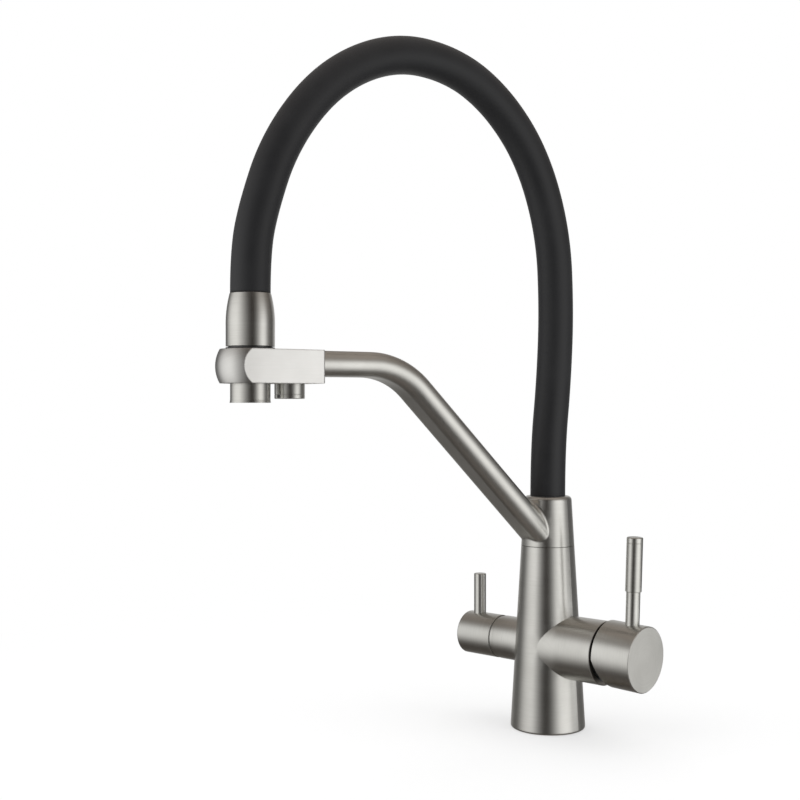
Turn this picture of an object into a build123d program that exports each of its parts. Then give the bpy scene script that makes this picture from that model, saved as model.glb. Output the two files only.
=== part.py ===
from build123d import *
import os
from math import atan, cos, radians, sin, sqrt, tan

os.makedirs("parts", exist_ok=True)

# Three-way kitchen tap: a tapered tower with a mixer lever and a filter lever, a swivelling arm with a dock,
# and a flexible hose that carries the spray head. All sizes are in millimetres.
# The origin is the centre of the underside, on the deck, with +Z up.

# Tower
base_radius = 26.5
base_round = 1.5
seam_height = 129.25
seam_radius = 18.85
seam_gap = 0.3
collar_foot = 5.73
collar_head = 6.39
collar_round = 3.0
valve_height = 58.75
barrel_chamfer = 0.4
overrun = 5.0

# Fits
running_gap = 0.05
free_gap = 0.3
thread_gap = 0.05

# Waterways and inlets
inlet_circle = 8.0
inlet_angle = 60.0
inlet_thread_radius = 4.6
inlet_depth = 11.0
way_radius = 3.0
mixed_way_radius = 4.0
chamber_radius = 8.0
filter_way_radius = 2.0
supply_way_drop = 6.0
mixed_way_rise = 8.0
chamber_drop = 3.5

# Fixing under the deck
shank_radius = 16.5
shank_bore = 13.8
shank_length = 58.0
shank_grip = 12.0
deck_thickness = 30.0
deck_rubber_radius = 27.0
deck_rubber_thickness = 3.0
deck_washer_thickness = 2.0
nut_radius = 25.5
nut_thickness = 12.0
nut_chamfer = 1.5
base_seal_inner = 18.5
base_seal_outer = 23.5
base_seal_thickness = 2.0

# Swivel spigot
spigot_radius = 11.0
spigot_thread_radius = 12.0
spigot_depth = 17.25
spigot_head = 10.75
spigot_bore = 5.0
spigot_way_offset = 7.6
spigot_way_radius = 1.2
spigot_ways = 4
filter_groove_radius = 8.4
lower_groove_rise = 6.0
upper_groove_rise = 10.2
filter_groove_width = 3.4
ring_section = 0.85
ring_groove_radius = 9.25
ring_offsets = (-4.35, 4.25, 7.55)
retain_rise = 2.45
retain_groove_width = 2.6
bearing_outer = 15.5
bearing_inner = 12.3
bearing_thickness = 1.9

# Mixer barrel and cartridge, as distances from the tower's axis
mixer_barrel_radius = 22.0
mixer_barrel_end = 50.0
cartridge_seat = 19.0
cartridge_radius = 17.5
cartridge_bore = 16.2
cartridge_shoulder = 39.0
cartridge_front = 42.0
cartridge_neck_radius = 13.0
cartridge_neck_bore = 10.7
cartridge_neck_end = 49.5
cartridge_base_thickness = 3.5
port_seal_radius = 4.6
port_seal_section = 0.6
fixed_disc_radius = 16.0
fixed_disc_thickness = 4.0
moving_disc_radius = 12.5
moving_disc_thickness = 3.5
carrier_thickness = 4.9
disc_offset = 2.2
disc_recess_width = 12.0
disc_recess_height = 16.0
disc_recess_depth = 2.0
disc_recess_round = 4.0
port_radius = 3.0
ring_nut_radius = 19.2
ring_nut_end = 48.8
ring_nut_slots = 4
ring_nut_slot_width = 4.0
ring_nut_slot_depth = 2.5
dome_radius = 18.3
dome_wall = 1.2
dome_skirt_radius = 17.6
dome_opening = 13.2

# Lever carrier and stem, as distances from the pivot
pivot_distance = 46.0
pivot_pin_radius = 1.55
pivot_pin_half = 9.6
turret_flange_radius = 15.9
turret_flange_thickness = 3.5
turret_neck_radius = 10.4
turret_slot_width = 7.3
turret_slot_half = 8.2
lever_lean = 2.0
ball_arm = 13.0
ball_radius = 2.5
ball_gap = 0.15
ball_neck_radius = 2.0
hub_half = 4.0
hub_width = 7.0
hub_height = 9.0
stem_size = 8.0
stem_start = 5.8
stem_end = 28.0

# Mixer cap, pin and grip, as distances from the pivot along the cap and from the cap's axis,
# which lies a little above the stem's
cap_radius = 22.4
cap_wall = 2.5
cap_rise = 1.0
cap_rear = 5.7
cap_front = 35.0
cap_cavity_floor = 20.4
cap_front_chamfer = 0.5
cap_rear_chamfer = 0.25
relief_angle = 22.0
relief_start = 1.0
pin_distance = 23.5
mixer_pin_radius = 4.75
mixer_pin_foot = 19.5
mixer_pin_thread_radius = 3.0
mixer_pin_thread_end = 7.0
grip_start = 44.5
grip_end = 81.3
grip_radius = 5.5
grip_tenon_radius = 3.5
grip_tenon_length = 30.0
grip_round = 0.8
grip_lower_round = 0.4
grip_line_drop = 4.0
grip_line_width = 0.35
grip_line_depth = 0.15
cap_screw_radius = 2.5
cap_screw_length = 9.0
hex_socket_radius = 1.4
hex_socket_depth = 2.5

# Filter barrel, valve and knob, as distances from the tower's axis
filter_barrel_radius = 15.5
filter_barrel_end = 38.8
filter_seat = 12.0
filter_valve_radius = 9.5
filter_flange_radius = 12.0
filter_flange_start = 36.0
filter_collar_radius = 14.8
filter_chamber_radius = 7.5
filter_disc_radius = 7.4
filter_fixed_thickness = 3.0
filter_moving_thickness = 2.5
filter_chamber_end = 24.0
filter_window_distance = 19.3
filter_window_radius = 1.6
filter_seal_distance = 30.0
filter_seal_section = 0.8
spindle_radius = 3.5
spindle_plate_radius = 7.0
spindle_plate_thickness = 2.2
spindle_end = 56.0
knob_gap = 3.1
knob_end = 72.1
knob_round = 0.8
knob_chamfer = 0.35
knob_cavity_radius = 12.8
knob_cavity_end = 50.0
knob_screw_distance = 53.2
knob_screw_radius = 2.0
knob_screw_length = 8.0
filter_pin_radius = 4.5
filter_pin_distance = 62.35
filter_pin_foot = 7.0
filter_pin_top = 44.45
filter_pin_round = 0.6

# Spout arm, in the upright plane of the arm: reach from the tower's axis, and height
spout_swing = -14.4
reach = 233.8
arm_width = 28.8
arm_height = 16.3
arm_start_reach = 7.5
arm_corner_share = 0.55432
arm_slope = 0.981
arm_bend_radius = 55.0
arm_wall = 1.6
arm_weld_round = 2.5
arm_cavity_reach = 30.0
filter_tube_radius = 3.0
filter_tube_bore = 2.0
filter_tube_bend_radius = 55.0
filter_tube_start_reach = 13.5
collar_socket_depth = 4.5
collar_screw_radius = 2.0
collar_screw_tip_radius = 1.0
collar_screw_tip_length = 1.6
collar_screw_depth = 10.3

# Dock block and filtered water outlet
block_drop = 12.75
block_rise = 8.2
block_half_width = 17.4
block_tail = 43.15
nose_radius = 21.4
block_round = 1.5
bush_bore = 12.95
bush_wall = 1.25
bush_lip_radius = 15.1
bush_lip_thickness = 0.95
outlet_offset = 27.0
outlet_radius = 9.5
outlet_length = 9.4
outlet_round = 0.6
outlet_thread_radius = 7.5
outlet_thread_length = 8.0
outlet_bore = 5.0
outlet_cup_radius = 8.2
outlet_cup_depth = 6.0
outlet_line_rise = 2.5
outlet_line_width = 0.35
outlet_line_depth = 0.15
outlet_notch_width = 3.0
outlet_notch_height = 2.6
outlet_notch_turn = 17.0
outlet_notches = 2
aerator_inset = 0.7
aerator_thickness = 4.2
aerator_holes = 12
aerator_hole_radius = 0.6
aerator_circle_share = 0.62
aerator_inner_circle_share = 0.3
aerator_inner_holes = 6

# Hose and its fittings
hose_radius = 12.4
hose_bore = 9.7
support_outer = 9.55
support_inner = 8.2
inner_hose_radius = 7.8
inner_hose_bore = 5.0
tail_thread_radius = 8.0
tail_bore = 4.5
tail_floor = 2.0
cup_radius = 9.4
cup_wall = 1.5
tail_cup_length = 16.0
ferrule_cup_length = 8.4
fitting_gap = 0.5

# Spray head
sleeve_radius = 15.0
sleeve_straight_length = 11.7
sleeve_curve_length = 20.6
sleeve_waist_radius = 14.3
sleeve_waist_share = 0.6
sleeve_top_radius = 12.65
sleeve_bore = 13.15
sleeve_neck_bore = 11.2
sleeve_neck_length = 4.6
sleeve_neck_slope = 3.0
seat_radius = 13.5
seat_thickness = 0.8
nozzle_radius = 12.3
nozzle_drop = 34.55
nozzle_flare = 12.6
nozzle_flare_height = 2.0
nozzle_thread_radius = 13.1
nozzle_thread_length = 6.7
nozzle_neck_radius = 10.45
nozzle_neck_length = 8.0
nozzle_cup_radius = 10.8
nozzle_cup_depth = 9.0
nozzle_bore = 7.0
valve_pocket_radius = 8.2
valve_pocket_depth = 14.0
check_valve_radius = 8.1
check_valve_bore = 4.0
check_valve_length = 13.0
hose_nut_radius = 12.7
hose_nut_overlap = 5.5
hose_nut_roof_thickness = 2.6
ferrule_flange_radius = 9.8
ferrule_flange_thickness = 3.0
ferrule_neck_radius = 7.3
washer_thickness = 2.2
washer_bore = 4.8
face_inset = 0.9
face_thickness = 3.6
face_radius = 10.7
face_holes_per_ring = (6, 12)
face_ring_circles = (4.0, 8.0)
face_hole_radius = 0.55
face_tip_radius = 0.95
face_tip_height = 0.5
face_seal_bore = 8.6
face_seal_thickness = 1.6

# Places that follow from the sizes above
arm_direction = Vector(sin(radians(spout_swing)), -cos(radians(spout_swing)), 0)
arm_plane = Plane(origin=(0, 0, 0), x_dir=arm_direction, z_dir=arm_direction.cross(Vector(0, 0, 1)))
level_plane = Plane(origin=(0, 0, 0), x_dir=arm_direction, z_dir=(0, 0, 1))
spray_foot = arm_direction * reach
outlet_foot = arm_direction * (reach - outlet_offset)
spray_axis = Axis(origin=spray_foot, direction=(0, 0, 1))
outlet_axis = Axis(origin=outlet_foot, direction=(0, 0, 1))
spray_plane = Plane(origin=spray_foot, x_dir=arm_direction, z_dir=arm_plane.z_dir)
outlet_plane = Plane(origin=outlet_foot, x_dir=arm_direction, z_dir=arm_plane.z_dir)

valve_centre = Vector(0, 0, valve_height)
valve_axis = Axis(origin=valve_centre, direction=(1, 0, 0))
mixer_plane = Plane(origin=valve_centre, x_dir=(1, 0, 0), z_dir=(0, -1, 0))
filter_plane = Plane(origin=valve_centre, x_dir=(-1, 0, 0), z_dir=(0, 1, 0))

pivot = Vector(pivot_distance, 0, valve_height)
lean = radians(lever_lean)
cap_direction = Vector(cos(lean), 0, -sin(lean))
pin_direction = Vector(sin(lean), 0, cos(lean))
stem_axis = Axis(origin=pivot, direction=cap_direction)
cap_centre = pivot + pin_direction * cap_rise
cap_axis = Axis(origin=cap_centre, direction=cap_direction)
cap_plane = Plane(origin=cap_centre, x_dir=cap_direction, z_dir=(0, -1, 0))

collar_bottom = seam_height + seam_gap
arm_slope_angle = atan(arm_slope)
arm_upright_height = arm_height / cos(arm_slope_angle)
arm_root_height = collar_bottom + collar_foot + arm_upright_height / 2
arm_corner_reach = reach * arm_corner_share
arm_level = arm_root_height + (arm_corner_reach - seam_radius) * arm_slope
collar_top = collar_bottom + collar_foot + arm_upright_height + collar_head
socket_floor = collar_top - collar_socket_depth
spigot_bottom = seam_height - spigot_depth
lower_groove_height = spigot_bottom + lower_groove_rise
upper_groove_height = collar_bottom + upper_groove_rise
spigot_top = upper_groove_height + spigot_head
ring_heights = [upper_groove_height + offset for offset in ring_offsets]
retain_height = collar_bottom + retain_rise
collar_chamber_top = spigot_top + fitting_gap
fixed_disc_start = cartridge_seat + cartridge_base_thickness
moving_disc_start = fixed_disc_start + fixed_disc_thickness
carrier_start = moving_disc_start + moving_disc_thickness
carrier_end = carrier_start + carrier_thickness
turret_start = carrier_end + free_gap
ball_rise = ball_arm * sin(lean)
inlet_height = shank_grip
turret_slot_height = turret_slot_half * 2

block_bottom = arm_level - block_drop
block_top = arm_level + block_rise
outlet_bottom = block_bottom - outlet_length
lip_top = block_top + bush_lip_thickness
sleeve_bottom = lip_top + seat_thickness
sleeve_straight_top = sleeve_bottom + sleeve_straight_length
hose_head_height = sleeve_straight_top + sleeve_curve_length
nozzle_bottom = sleeve_bottom - nozzle_drop
nozzle_thread_top = sleeve_bottom + nozzle_thread_length
nozzle_top = nozzle_thread_top + nozzle_neck_length


def tower_radius(height):
    """Radius of the tower's cone at a height."""
    return base_radius - (base_radius - seam_radius) * height / seam_height


def turn(outline, plane, axis, mode=Mode.ADD):
    """Turn a closed outline of straight edges about an axis in its plane."""
    with BuildSketch(plane) as section:
        with BuildLine():
            Polyline(*outline, close=True)
        make_face()
    revolve(section.sketch, axis=axis, mode=mode)


def band(start, end, inner, outer):
    """Outline of a ring that runs from start to end along its axis."""
    return [(start, inner), (end, inner), (end, outer), (start, outer)]


def upright_band(bottom, top, inner, outer):
    """Outline of a ring that runs from bottom to top about an upright axis."""
    return [(inner, bottom), (outer, bottom), (outer, top), (inner, top)]


def rod(origin, direction, radius, length, mode=Mode.ADD):
    """Straight round rod, or a drilled hole where mode is SUBTRACT."""
    with BuildSketch(Plane(origin=origin, z_dir=direction)) as section:
        Circle(radius)
    extrude(section.sketch, amount=length, mode=mode)


def drill(origin, direction, radius, length):
    """Round hole from origin along direction."""
    rod(origin, direction, radius, length, mode=Mode.SUBTRACT)


def ring_of_section(centre_radius, height, section_radius, plane, axis):
    """Round seal about an axis, its section centred at a radius and a place along the axis."""
    with BuildSketch(Plane(origin=plane.from_local_coords((centre_radius, height)), z_dir=plane.z_dir)) as section:
        Circle(section_radius)
    revolve(section.sketch, axis=axis)


# Inlets stand on a circle under the tower: hot and cold towards the mixer lever, filtered under the filter lever
inlet_reach = inlet_circle * cos(radians(inlet_angle))
inlet_side = inlet_circle * sin(radians(inlet_angle))
inlet_places = {
    "hot": Vector(inlet_reach, inlet_side, inlet_height),
    "cold": Vector(inlet_reach, -inlet_side, inlet_height),
    "filtered": Vector(-inlet_circle, 0, inlet_height),
}
up = (0, 0, 1)
down = (0, 0, -1)

# Tower casting
with BuildPart() as body_casting:
    turn([(0, 0), (base_radius, 0), (seam_radius, seam_height), (0, seam_height)], Plane.XZ, Axis.Z)
    fillet(body_casting.edges().filter_by(GeomType.CIRCLE).sort_by(Axis.Z)[0], base_round)
    rod(valve_centre, (1, 0, 0), mixer_barrel_radius, mixer_barrel_end)
    rod(valve_centre, (-1, 0, 0), filter_barrel_radius, filter_barrel_end)
    chamfer(body_casting.edges().filter_by(GeomType.CIRCLE).sort_by(Axis.X)[-1], barrel_chamfer)
    chamfer(body_casting.edges().filter_by(GeomType.CIRCLE).sort_by(Axis.X)[0], barrel_chamfer)
    turn(upright_band(-overrun, shank_grip, 0, shank_radius), Plane.XZ, Axis.Z, Mode.SUBTRACT)
    turn(upright_band(-overrun, base_seal_thickness, base_seal_inner, base_seal_outer), Plane.XZ, Axis.Z,
         Mode.SUBTRACT)
    turn(band(cartridge_seat, mixer_barrel_end + overrun, 0, cartridge_radius), mixer_plane, valve_axis,
         Mode.SUBTRACT)
    turn(band(cartridge_front, mixer_barrel_end + overrun, 0, ring_nut_radius), mixer_plane, valve_axis,
         Mode.SUBTRACT)
    turn(band(filter_seat, filter_barrel_end + overrun, 0, filter_valve_radius), filter_plane, valve_axis,
         Mode.SUBTRACT)
    turn(band(filter_flange_start, filter_barrel_end + overrun, 0, filter_flange_radius), filter_plane, valve_axis,
         Mode.SUBTRACT)
    turn(upright_band(spigot_bottom, seam_height + overrun, 0, spigot_thread_radius), Plane.XZ, Axis.Z,
         Mode.SUBTRACT)
    turn(upright_band(seam_height - bearing_thickness + seam_gap, seam_height + overrun, 0, bearing_outer), Plane.XZ,
         Axis.Z, Mode.SUBTRACT)
    turn(upright_band(valve_height + chamber_drop, spigot_bottom, 0, chamber_radius), Plane.XZ, Axis.Z, Mode.SUBTRACT)
    drill((0, 0, valve_height + mixed_way_rise), (1, 0, 0), mixed_way_radius, cartridge_seat)
    for name in ("hot", "cold"):
        foot = inlet_places[name]
        supply_height = valve_height - supply_way_drop
        drill(foot, up, inlet_thread_radius, inlet_depth)
        drill(foot, up, way_radius, supply_height - inlet_height)
        drill((foot.X - way_radius, foot.Y, supply_height), (1, 0, 0), way_radius,
              cartridge_seat - foot.X + way_radius)
    drill(inlet_places["filtered"], up, inlet_thread_radius, inlet_depth)
    drill(inlet_places["filtered"], up, way_radius, valve_height - inlet_height)
    drill((-inlet_circle + way_radius, 0, valve_height), (-1, 0, 0), way_radius, filter_seat)
    rise_foot = Vector(-filter_window_distance, 0, valve_height + filter_chamber_radius)
    rise_head = Vector(-spigot_thread_radius - filter_way_radius, 0, lower_groove_height)
    drill(rise_foot, rise_head - rise_foot, filter_way_radius, (rise_head - rise_foot).length)
    drill(rise_head + Vector(-filter_way_radius, 0, 0), (1, 0, 0), filter_way_radius, spigot_thread_radius / 2)
body_casting.part.label = "body_casting"
export_step(body_casting.part, "parts/body_casting.step")

with BuildPart() as base_seal:
    turn(upright_band(0, base_seal_thickness, base_seal_inner, base_seal_outer), Plane.XZ, Axis.Z)
base_seal.part.label = "base_seal"
export_step(base_seal.part, "parts/base_seal.step")

# Fixing under the deck
with BuildPart() as mounting_shank:
    turn(upright_band(-shank_length, shank_grip, shank_bore, shank_radius), Plane.XZ, Axis.Z)
    chamfer(mounting_shank.edges().group_by(Axis.Z)[0].sort_by(SortBy.LENGTH)[-1], base_round)
mounting_shank.part.label = "mounting_shank"
export_step(mounting_shank.part, "parts/mounting_shank.step")

deck_washer_top = -deck_thickness - deck_rubber_thickness
nut_top = deck_washer_top - deck_washer_thickness
with BuildPart() as deck_rubber:
    turn(upright_band(deck_washer_top, -deck_thickness, shank_radius + free_gap, deck_rubber_radius), Plane.XZ, Axis.Z)
deck_rubber.part.label = "deck_rubber"
export_step(deck_rubber.part, "parts/deck_rubber.step")

with BuildPart() as deck_washer:
    turn(upright_band(nut_top, deck_washer_top, shank_radius + free_gap, deck_rubber_radius), Plane.XZ, Axis.Z)
deck_washer.part.label = "deck_washer"
export_step(deck_washer.part, "parts/deck_washer.step")

with BuildPart() as mounting_nut:
    with BuildSketch(Plane.XY.offset(nut_top)):
        RegularPolygon(nut_radius, 6)
        Circle(shank_radius + thread_gap, mode=Mode.SUBTRACT)
    extrude(amount=-nut_thickness)
    turn([(nut_radius - nut_chamfer, nut_top - nut_thickness - overrun),
          (nut_radius + overrun, nut_top - nut_thickness - overrun),
          (nut_radius + overrun, nut_top - nut_thickness + nut_chamfer + overrun),
          (nut_radius - nut_chamfer, nut_top - nut_thickness)], Plane.XZ, Axis.Z, Mode.SUBTRACT)
mounting_nut.part.label = "mounting_nut"
export_step(mounting_nut.part, "parts/mounting_nut.step")

# Swivel spigot, with the mixed water through its middle and the filtered water in upright side drillings
spigot_shoulder = seam_height - bearing_thickness + seam_gap
with BuildPart() as swivel_spigot:
    turn(upright_band(spigot_bottom, spigot_shoulder, spigot_bore, spigot_thread_radius), Plane.XZ, Axis.Z)
    turn(upright_band(spigot_shoulder, spigot_top, spigot_bore, spigot_radius), Plane.XZ, Axis.Z)
    for ring_height in ring_heights:
        turn(upright_band(ring_height - ring_section, ring_height + ring_section, ring_groove_radius,
                          spigot_radius + overrun), Plane.XZ, Axis.Z, Mode.SUBTRACT)
    for groove_height in (lower_groove_height, upper_groove_height):
        turn(upright_band(groove_height - filter_groove_width / 2, groove_height + filter_groove_width / 2,
                          filter_groove_radius, spigot_thread_radius + overrun), Plane.XZ, Axis.Z, Mode.SUBTRACT)
    turn(upright_band(retain_height - retain_groove_width / 2, retain_height + retain_groove_width / 2,
                      ring_groove_radius, spigot_radius + overrun), Plane.XZ, Axis.Z, Mode.SUBTRACT)
    with BuildSketch(Plane.XY.offset(lower_groove_height)):
        with PolarLocations(spigot_way_offset, spigot_ways):
            Circle(spigot_way_radius)
    extrude(amount=upper_groove_height - lower_groove_height, mode=Mode.SUBTRACT)
swivel_spigot.part.label = "swivel_spigot"
export_step(swivel_spigot.part, "parts/swivel_spigot.step")

with BuildPart() as spigot_o_rings:
    for ring_height in ring_heights:
        ring_of_section(spigot_radius - ring_section, ring_height, ring_section, Plane.XZ, Axis.Z)
spigot_o_rings.part.label = "spigot_o_rings"
export_step(spigot_o_rings.part, "parts/spigot_o_rings.step")

with BuildPart() as bearing_ring:
    turn(upright_band(spigot_shoulder, collar_bottom, bearing_inner, bearing_outer), Plane.XZ, Axis.Z)
bearing_ring.part.label = "bearing_ring"
export_step(bearing_ring.part, "parts/bearing_ring.step")

# Ports through the cartridge's base and fixed disc
port_places = [
    (valve_height - supply_way_drop, inlet_places["hot"].Y),
    (valve_height - supply_way_drop, inlet_places["cold"].Y),
    (valve_height + mixed_way_rise, 0),
]


def open_ports(start, thickness):
    """Three ports through a disc that starts at a distance along the mixer's axis."""
    for port_height, port_side in port_places:
        drill((start, port_side, port_height), (1, 0, 0), port_radius, thickness)


with BuildPart() as cartridge_base:
    turn(band(cartridge_seat, fixed_disc_start, 0, cartridge_radius), mixer_plane, valve_axis)
    for port_height, port_side in port_places:
        drill((cartridge_seat, port_side, port_height), (1, 0, 0), port_seal_radius + port_seal_section,
              port_seal_section * 2)
    open_ports(cartridge_seat, cartridge_base_thickness)
cartridge_base.part.label = "cartridge_base"
export_step(cartridge_base.part, "parts/cartridge_base.step")

with BuildPart() as port_seals:
    for port_height, port_side in port_places:
        seal_axis = Axis(origin=(0, port_side, port_height), direction=(1, 0, 0))
        section_centre = (cartridge_seat + port_seal_section, port_side, port_height + port_seal_radius)
        with BuildSketch(Plane(origin=section_centre, z_dir=(0, -1, 0))) as seal_section:
            Circle(port_seal_section)
        revolve(seal_section.sketch, axis=seal_axis)
port_seals.part.label = "port_seals"
export_step(port_seals.part, "parts/port_seals.step")

with BuildPart() as fixed_disc:
    turn(band(fixed_disc_start, moving_disc_start, 0, fixed_disc_radius), mixer_plane, valve_axis)
    open_ports(fixed_disc_start, fixed_disc_thickness)
fixed_disc.part.label = "fixed_disc"
export_step(fixed_disc.part, "parts/fixed_disc.step")

with BuildPart() as cartridge_housing:
    turn(band(fixed_disc_start, cartridge_shoulder, cartridge_bore, cartridge_radius), mixer_plane, valve_axis)
    turn(band(cartridge_shoulder, cartridge_front, cartridge_neck_bore, cartridge_radius), mixer_plane, valve_axis)
    turn(band(cartridge_front, cartridge_neck_end, cartridge_neck_bore, cartridge_neck_radius), mixer_plane,
         valve_axis)
cartridge_housing.part.label = "cartridge_housing"
export_step(cartridge_housing.part, "parts/cartridge_housing.step")

with BuildPart() as cartridge_nut:
    turn(band(cartridge_front, ring_nut_end, cartridge_neck_radius + free_gap, ring_nut_radius), mixer_plane,
         valve_axis)
    with BuildSketch(Plane(origin=(ring_nut_end, 0, valve_height), z_dir=(-1, 0, 0))):
        with PolarLocations((cartridge_neck_radius + ring_nut_radius) / 2, ring_nut_slots):
            Rectangle(ring_nut_slot_width, ring_nut_slot_width)
    extrude(amount=ring_nut_slot_depth, mode=Mode.SUBTRACT)
cartridge_nut.part.label = "cartridge_nut"
export_step(cartridge_nut.part, "parts/cartridge_nut.step")

# Dark dome that fills the gap behind the cap, round the pivot
dome_inner = dome_radius - dome_wall
dome_foot = pivot_distance + sqrt(dome_radius**2 - dome_skirt_radius**2)
dome_foot_inner = pivot_distance + sqrt(dome_inner**2 - (dome_skirt_radius - dome_wall) ** 2)
dome_lip = pivot_distance + sqrt(dome_radius**2 - dome_opening**2)
dome_lip_inner = pivot_distance + sqrt(dome_inner**2 - dome_opening**2)


def dome_point(radius, start, end):
    """Point halfway round a dome's arc, between two places along its axis."""
    start_angle = atan(sqrt(radius**2 - (start - pivot_distance) ** 2) / (start - pivot_distance))
    end_angle = atan(sqrt(radius**2 - (end - pivot_distance) ** 2) / (end - pivot_distance))
    middle = (start_angle + end_angle) / 2
    return (pivot_distance + radius * cos(middle), radius * sin(middle))


with BuildPart() as trim_dome:
    with BuildSketch(mixer_plane):
        with BuildLine():
            Line((ring_nut_end, dome_skirt_radius - dome_wall), (ring_nut_end, dome_skirt_radius))
            Line((ring_nut_end, dome_skirt_radius), (dome_foot, dome_skirt_radius))
            ThreePointArc((dome_foot, dome_skirt_radius), dome_point(dome_radius, dome_foot, dome_lip),
                          (dome_lip, dome_opening))
            Line((dome_lip, dome_opening), (dome_lip_inner, dome_opening))
            ThreePointArc((dome_lip_inner, dome_opening), dome_point(dome_inner, dome_lip_inner, dome_foot_inner),
                          (dome_foot_inner, dome_skirt_radius - dome_wall))
            Line((dome_foot_inner, dome_skirt_radius - dome_wall), (ring_nut_end, dome_skirt_radius - dome_wall))
        make_face()
    revolve(axis=valve_axis)
trim_dome.part.label = "trim_dome"
export_step(trim_dome.part, "parts/trim_dome.step")

# Moving parts of the mixer cartridge
disc_centre = Vector(0, 0, valve_height - disc_offset)
with BuildPart() as moving_disc:
    rod(disc_centre + Vector(moving_disc_start, 0, 0), (1, 0, 0), moving_disc_radius, moving_disc_thickness)
    with BuildSketch(Plane(origin=disc_centre + Vector(moving_disc_start, 0, 0), x_dir=(0, 1, 0), z_dir=(1, 0, 0))):
        RectangleRounded(disc_recess_width, disc_recess_height, disc_recess_round)
    extrude(amount=disc_recess_depth, mode=Mode.SUBTRACT)
moving_disc.part.label = "moving_disc"
export_step(moving_disc.part, "parts/moving_disc.step")

with BuildPart() as disc_carrier:
    rod(disc_centre + Vector(carrier_start, 0, 0), (1, 0, 0), moving_disc_radius, carrier_thickness)
    socket_size = (ball_radius + ball_gap) * 2
    with BuildSketch(Plane(origin=(carrier_end, 0, valve_height + ball_rise), x_dir=(0, 1, 0), z_dir=(1, 0, 0))):
        Rectangle(socket_size, socket_size)
    extrude(amount=-(carrier_end - pivot_distance + ball_arm + ball_radius + ball_gap), mode=Mode.SUBTRACT)
disc_carrier.part.label = "disc_carrier"
export_step(disc_carrier.part, "parts/disc_carrier.step")

with BuildPart() as lever_carrier:
    turn(band(turret_start, turret_start + turret_flange_thickness, 0, turret_flange_radius), mixer_plane, valve_axis)
    turn(band(turret_start, cartridge_neck_end + free_gap, 0, turret_neck_radius), mixer_plane, valve_axis)
    with BuildSketch(Plane(origin=(turret_start - overrun, 0, valve_height), x_dir=(0, 1, 0), z_dir=(1, 0, 0))):
        Rectangle(turret_slot_width, turret_slot_height)
    extrude(amount=cartridge_neck_end - turret_start + overrun * 2, mode=Mode.SUBTRACT)
    drill(pivot - Vector(0, turret_neck_radius + overrun, 0), (0, 1, 0), pivot_pin_radius,
          (turret_neck_radius + overrun) * 2)
lever_carrier.part.label = "lever_carrier"
export_step(lever_carrier.part, "parts/lever_carrier.step")

with BuildPart() as lever_pivot_pin:
    rod(pivot - Vector(0, pivot_pin_half, 0), (0, 1, 0), pivot_pin_radius, pivot_pin_half * 2)
lever_pivot_pin.part.label = "lever_pivot_pin"
export_step(lever_pivot_pin.part, "parts/lever_pivot_pin.step")


def on_stem(along):
    """Point on the stem's axis at a distance from the pivot."""
    return pivot + cap_direction * along


def on_cap(along, out):
    """Point at a distance along the cap's axis from the pivot, and out towards the pin."""
    return cap_centre + cap_direction * along + pin_direction * out


with BuildPart() as cartridge_stem:
    with BuildSketch(Plane(origin=on_stem(-hub_half), x_dir=(0, 1, 0), z_dir=cap_direction)):
        Rectangle(hub_width, hub_height)
    extrude(amount=hub_half * 2)
    with BuildSketch(Plane(origin=on_stem(hub_half), x_dir=(0, 1, 0), z_dir=cap_direction)):
        Rectangle(hub_width, stem_size)
    extrude(amount=stem_start - hub_half)
    with BuildSketch(Plane(origin=on_stem(stem_start), x_dir=(0, 1, 0), z_dir=cap_direction)):
        Rectangle(stem_size, stem_size)
    extrude(amount=stem_end - stem_start)
    rod(on_stem(-ball_arm), cap_direction, ball_neck_radius, ball_arm - hub_half)
    with BuildSketch(Plane(origin=on_stem(-ball_arm), x_dir=cap_direction, z_dir=(0, -1, 0))) as ball_section:
        with BuildLine():
            CenterArc((0, 0), ball_radius, 0, 180)
            Line((ball_radius, 0), (-ball_radius, 0))
        make_face()
    revolve(ball_section.sketch, axis=stem_axis)
    drill(pivot - Vector(0, hub_width, 0), (0, 1, 0), pivot_pin_radius + running_gap, hub_width * 2)
cartridge_stem.part.label = "cartridge_stem"
export_step(cartridge_stem.part, "parts/cartridge_stem.step")

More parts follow.
